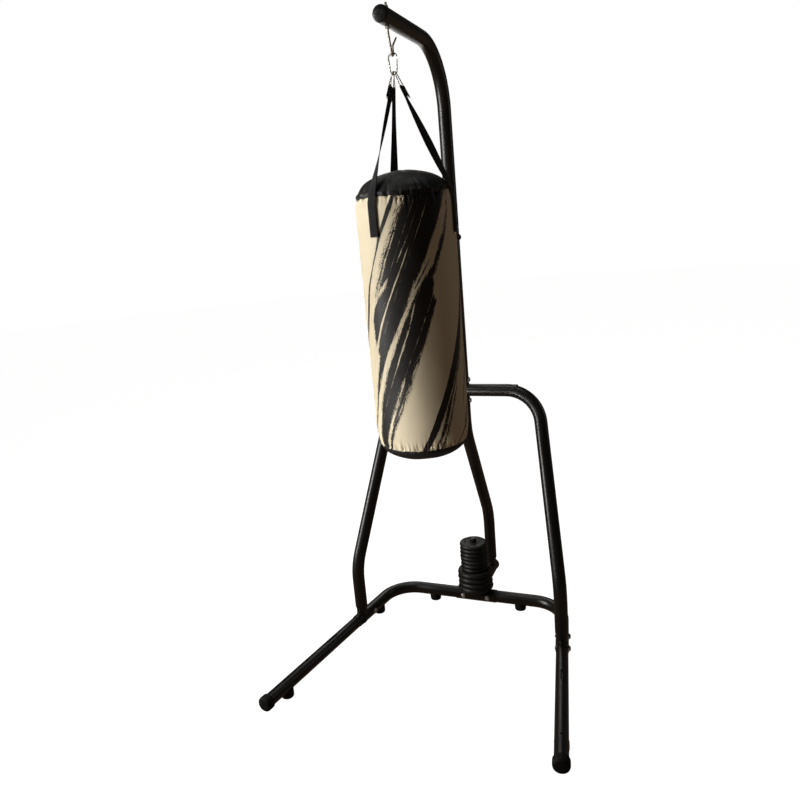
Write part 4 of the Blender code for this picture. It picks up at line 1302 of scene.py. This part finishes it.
def bag_piece(name, grid, slot, tucked, nodes):
    """One sewn piece: its rows of points, with each open edge tucked in under the next piece."""
    rings = [[Vector(point) for point in row] for row in grid]
    for at_start in tucked:
        edge = rings[0] if at_start else rings[-1]
        inner = []
        for point in edge:
            flat = Vector((point.x, point.y, 0))
            inner.append(point - flat.normalized() * SEAM_TUCK)
        hub = [Vector((0, 0, sum(point.z for point in edge) / len(edge)))]
        rings = [hub, inner, *rings] if at_start else [*rings, inner, hub]
    points, faces = loft(rings)
    made = outward(add_mesh(name, points, faces, slot, 80))
    made.location.y = BAG_Y
    placed(made, "bag", *nodes)


def seam_lift(turns):
    """How far the top seam is drawn up: by the straps, and unevenly all round."""
    lift = np.zeros(len(turns))
    for label, (rise, spread) in STRAP_PULL.items():
        apart = np.angle(np.exp(1j * (turns - STRAPS[label][0])))
        lift += rise * np.exp(-((apart / spread) ** 2))
    generator = random.Random("seam")
    for around in (9, 14, 23, 31):
        lift += generator.uniform(0.0004, 0.0009) * np.sin(around * turns + generator.uniform(0, 6))
    return lift


def puffed(grid, seams, near_seam):
    """The grid as a cloth simulation swells it, each move kept under SWELL_LIMIT; the seams stay."""
    hubs = [[Vector((0, 0, row[:, 2].mean()))] for row in (grid[0], grid[-1])]
    rings = [hubs[0], *[[Vector(point) for point in row] for row in grid[1:-1]], hubs[1]]
    points, faces = loft(rings)
    whole = outward(add_mesh("bag_whole", points, faces, "printed_skin", 80))
    whole.location.y = BAG_Y

    def row_points(row):
        return range(1 + (row - 1) * BAG_TURNS, 1 + row * BAG_TURNS)

    pinned = [index for row in seams for index in row_points(row)] + [0, len(points) - 1]
    slack = {}
    for row in range(1, len(grid) - 1):
        weight = float(np.exp(-((near_seam[row] / 0.018) ** 2)))
        if weight > 0.02:
            slack.update({index: weight for index in row_points(row)})
    places = swell(whole, pinned, slack)
    bpy.data.objects.remove(whole)
    step = places[1:-1].reshape(len(grid) - 2, BAG_TURNS, 3) - grid[1:-1]
    size = np.linalg.norm(step, axis=2, keepdims=True)
    grid[1:-1] += step * np.minimum(1, SWELL_LIMIT / np.maximum(size, 1e-9))
    return grid


def make_bag():
    turns = np.linspace(0, 2 * math.pi, BAG_TURNS, endpoint=False)
    rows, high, low = bag_grid()
    radius, height = rows[:, 0], rows[:, 1]
    length = np.concatenate([[0], np.cumsum(np.hypot(np.diff(radius), np.diff(height)))])
    gaps = {"high": np.abs(length - length[high]), "low": np.abs(length - length[low])}
    near_seam = np.minimum(gaps["high"], gaps["low"])
    above = np.arange(len(rows)) <= high
    below = np.arange(len(rows)) >= low
    inside = ~above & ~below
    pieces = {"cover": above, "skin": inside, "cap": below}

    # Gathers, the roll beside the top seam and the filling's lumps, at right angles to the surface
    drawn = gathered(turns, GATHERS, gaps, pieces)
    roll = 0.0042 * np.exp(-(((gaps["high"] - 0.010) / 0.005) ** 2)) * above
    lump = waves(turns, height, "bag", 0.0016, ((3, 9), (5, 14), (7, 21), (4, 31)))
    lump += waves(turns, height * 2, "dome", 0.0016, ((2, 40), (3, 25), (5, 60))) * above[:, None]
    lump *= np.clip(near_seam / 0.04, 0, 1)[:, None]
    out = roll[:, None] + lump - drawn
    upward = np.gradient(radius, length)
    lean = np.clip(-np.gradient(height, length), -1, 1)
    radii = radius[:, None] + out * lean[:, None]
    heights = height[:, None] + out * (upward * np.clip(radius / 0.02, 0, 1))[:, None]
    pull = np.exp(-((gaps["high"] / np.where(above, 0.035, 0.060)) ** 2))
    heights = heights + pull[:, None] * seam_lift(turns)[None, :]

    grid = np.stack([radii * np.cos(turns), radii * np.sin(turns), heights], axis=2)
    grid = puffed(grid, (high, low), near_seam)

    # Small puckers where the stitches draw the skin in, after the swelling
    grid = refined(grid)
    fine = np.linspace(0, 2 * math.pi, 2 * BAG_TURNS, endpoint=False)
    pucker = gathered(fine, PUCKERS, gaps, pieces) * np.clip(near_seam / 0.003, 0, 1)[:, None]
    reach = np.hypot(grid[:, :, 0], grid[:, :, 1])
    grid[:, :, :2] *= (1 - pucker * np.abs(lean)[:, None] / np.maximum(reach, 0.02))[:, :, None]
    grid[:, :, 2] -= pucker * upward[:, None]

    # Nothing stands out past the CAD
    reach = np.hypot(grid[:, :, 0], grid[:, :, 1])
    most = np.where(inside, SKIN_LIMIT, HIGH_SEAM_R + 0.0045)[:, None]
    grid[:, :, :2] *= np.minimum(1, most / np.maximum(reach, 1e-6))[:, :, None]

    cover = [[(0, 0, grid[0, :, 2].mean())], *grid[1:high + 1]]
    cap = [*grid[low:-1], [(0, 0, grid[-1, :, 2].mean())]]
    bag_piece("bag_cover", cover, "black_vinyl", (False,), ("bag_top_cover", "bag_filling"))
    bag_piece("bag_skin", grid[high:low + 1], "printed_skin", (True, False), ("bag_shell",))
    bag_piece("bag_cap", cap, "black_vinyl", (True,), ("bag_bottom_cap",))


# ---------------------------------------------------------------- weights


PLATE_BORE = 0.0142
PLATE_STEPS = 96


def plate(node, body):
    low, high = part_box(node)
    radius, thick = (high.x - low.x) / 2, high.z - low.z
    phase = random.Random(node).uniform(0, 6)
    edge = thick * 0.46
    outline = (
        (PLATE_BORE, thick - 0.0012), (PLATE_BORE + 0.0012, thick - 0.0002), (PLATE_BORE + 0.007, thick - 0.0002),
        (PLATE_BORE + 0.0085, thick - 0.0018), (radius * 0.62, thick - 0.0020), (radius * 0.66, thick - 0.0002),
        (radius - edge, thick), (radius - edge * 0.30, thick - edge * 0.25), (radius, thick * 0.56),
        (radius, thick * 0.44), (radius - edge * 0.30, edge * 0.25), (radius - edge, 0.0),
        (PLATE_BORE + 0.001, 0.0), (PLATE_BORE, 0.001), (PLATE_BORE, thick - 0.0012),
    )

    def wobble(turn):
        return 0.0007 * math.sin(2 * turn + phase) + 0.0004 * math.sin(5 * turn + phase * 2)

    place = Vector((0, REAR_TUBE_Y, low.z))
    rounded = softened(outline, edge * 0.7, 12)[:-1]
    made = lathe(f"{node}_shell", rounded, "plate_vinyl", place, UP, PLATE_STEPS, 40, wobble, True)
    route = lathe_rings([(radius - 0.0003, thick * 0.5)], PLATE_STEPS, place, UP, wobble)[0]
    seam = sweep("plate_seam", route, 0.0006, "plate_vinyl", sides=8, cyclic=True)
    placed(merge(f"{node}_shell", made, seam), body, node)


def make_weights():
    for node in sorted(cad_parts):
        for size in ("large", "small"):
            if node.startswith(f"{size}_plate"):
                plate(node, f"{size}_plates")
    low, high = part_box("weight_spindle")
    flange, foot_z, top = (high.x - low.x) / 2, low.z, high.z
    profile = softened((
        (0, top - 0.0010), (0.0060, top - 0.0010), (0.0072, top), (0.0105, top), (0.0125, top - 0.0020),
        (0.0125, foot_z + 0.0045), (0.0150, foot_z + 0.0034), (flange, foot_z + 0.0034), (flange, foot_z), (0, foot_z),
    ), 0.0012)
    spindle = lathe("spindle_bar", profile, "black_paint", Vector((0, REAR_TUBE_Y, 0)))
    placed(spindle, "stand", "weight_spindle")


# ---------------------------------------------------------------- stage


# Place, target, size, watts, spread in degrees and colour of each lamp
LAMPS = {
    "key": ((-2.25, -1.42, 1.70), (0, -0.16, 1.20), (0.7, 2.0), 70, 180, (1.0, 0.985, 0.955)),
    "low_front": ((-0.62, -1.15, 0.42), (0, -0.16, 0.88), (0.40, 0.30), 0.86, 52, (1.0, 0.975, 0.94)),
    "high_left": ((-1.29, -1.23, 2.32), (0, -0.16, 1.60), (0.30, 0.30), 1.1, 46, (1.0, 0.98, 0.95)),
    "overhead": ((-0.5, 0.4, 4.3), (0, 0.1, 0), (1.6, 2.2), 20, 180, (1.0, 0.99, 0.98)),
    "behind": ((-0.85, 2.20, 2.00), (0, -0.16, 1.2), (1.2, 1.8), 9, 180, (1.0, 0.98, 0.95)),
    "behind_right": ((2.4, 1.6, 1.9), (0, 0, 1.0), (0.7, 1.8), 2.5, 180, (1.0, 0.98, 0.96)),
}


def make_stage():
    floor_mesh = bpy.data.meshes.new("floor")
    shape = bmesh.new()
    bmesh.ops.create_circle(shape, cap_ends=True, segments=96, radius=16)
    shape.to_mesh(floor_mesh)
    shape.free()
    floor = bpy.data.objects.new("floor", floor_mesh)
    bpy.context.scene.collection.objects.link(floor)
    # The black tubes mirror a dim room, not this floor
    floor.visible_diffuse = False
    floor.visible_glossy = False
    made = Finish("floor_paint", Emission_Color=rgb(1.0, 1.0, 1.0), Emission_Strength=0.975)
    colour = made.mix(made.noise(1.4, 3), rgb(0.36, 0.358, 0.355), rgb(0.40, 0.398, 0.395))
    floor_mesh.materials.append(made.output(colour, made.fit(made.noise(3, 3), 0.3, 0.7, 0.55, 0.70)))

    # A dim room for the light and the mirroring, plain white behind the object
    world = bpy.data.worlds.new("studio")
    bpy.context.scene.world = world
    world.use_nodes = True
    ends = world.node_tree.nodes
    sky = Nodes(world.node_tree)
    up = sky.node("SeparateXYZ", {0: sky.node("TexCoord").outputs["Generated"]}).outputs["Z"]
    room = sky.mix(sky.fit(up, -0.25, 0.20), rgb(0.115, 0.076, 0.052), rgb(0.030, 0.028, 0.026))
    sky.tree.links.new(room, ends["Background"].inputs["Color"])
    seen = sky.node("Background", {"Color": rgb(1.0, 1.0, 1.0)})
    shown = {0: sky.node("LightPath").outputs["Is Camera Ray"], 1: ends["Background"].outputs[0], 2: seen.outputs[0]}
    mixed = sky.node("MixShader", shown)
    sky.tree.links.new(mixed.outputs[0], ends["World Output"].inputs["Surface"])

    for name, (place, target, size, energy, spread, colour) in LAMPS.items():
        data = bpy.data.lights.new(name, "AREA")
        data.shape = "RECTANGLE"
        data.size, data.size_y = size
        data.energy = energy
        data.spread = math.radians(spread)
        data.color = colour
        lamp = bpy.data.objects.new(name, data)
        bpy.context.scene.collection.objects.link(lamp)
        lamp.location = place
        lamp.rotation_euler = (Vector(target) - Vector(place)).to_track_quat("-Z", "Y").to_euler()
        lamp.visible_camera = False


def make_camera():
    data = bpy.data.cameras.new("camera")
    data.sensor_width = SENSOR
    data.lens = CAMERA_LENS
    data.clip_end = 60
    camera = bpy.data.objects.new("camera", data)
    bpy.context.scene.collection.objects.link(camera)
    right = Vector((math.cos(CAMERA_YAW), math.sin(CAMERA_YAW), 0))
    ahead = Vector((-math.sin(CAMERA_YAW), math.cos(CAMERA_YAW), 0))
    forward = ahead * math.cos(CAMERA_PITCH) - UP * math.sin(CAMERA_PITCH)
    down = -(UP * math.cos(CAMERA_PITCH) + ahead * math.sin(CAMERA_PITCH))
    x_axis = right * math.cos(CAMERA_ROLL) + down * math.sin(CAMERA_ROLL)
    y_axis = right * math.sin(CAMERA_ROLL) - down * math.cos(CAMERA_ROLL)
    rotation = Matrix((x_axis, y_axis, -forward)).transposed()
    camera.matrix_world = Matrix.Translation(CAMERA_PLACE) @ rotation.to_4x4()
    bpy.context.scene.camera = camera
    bpy.context.scene.view_settings.view_transform = "Standard"


make_stage()
make_camera()
make_floor_frame()
make_legs()
make_mast()
make_hook()
make_snap_hook()
make_rings()
make_straps()
make_bag()
make_weights()
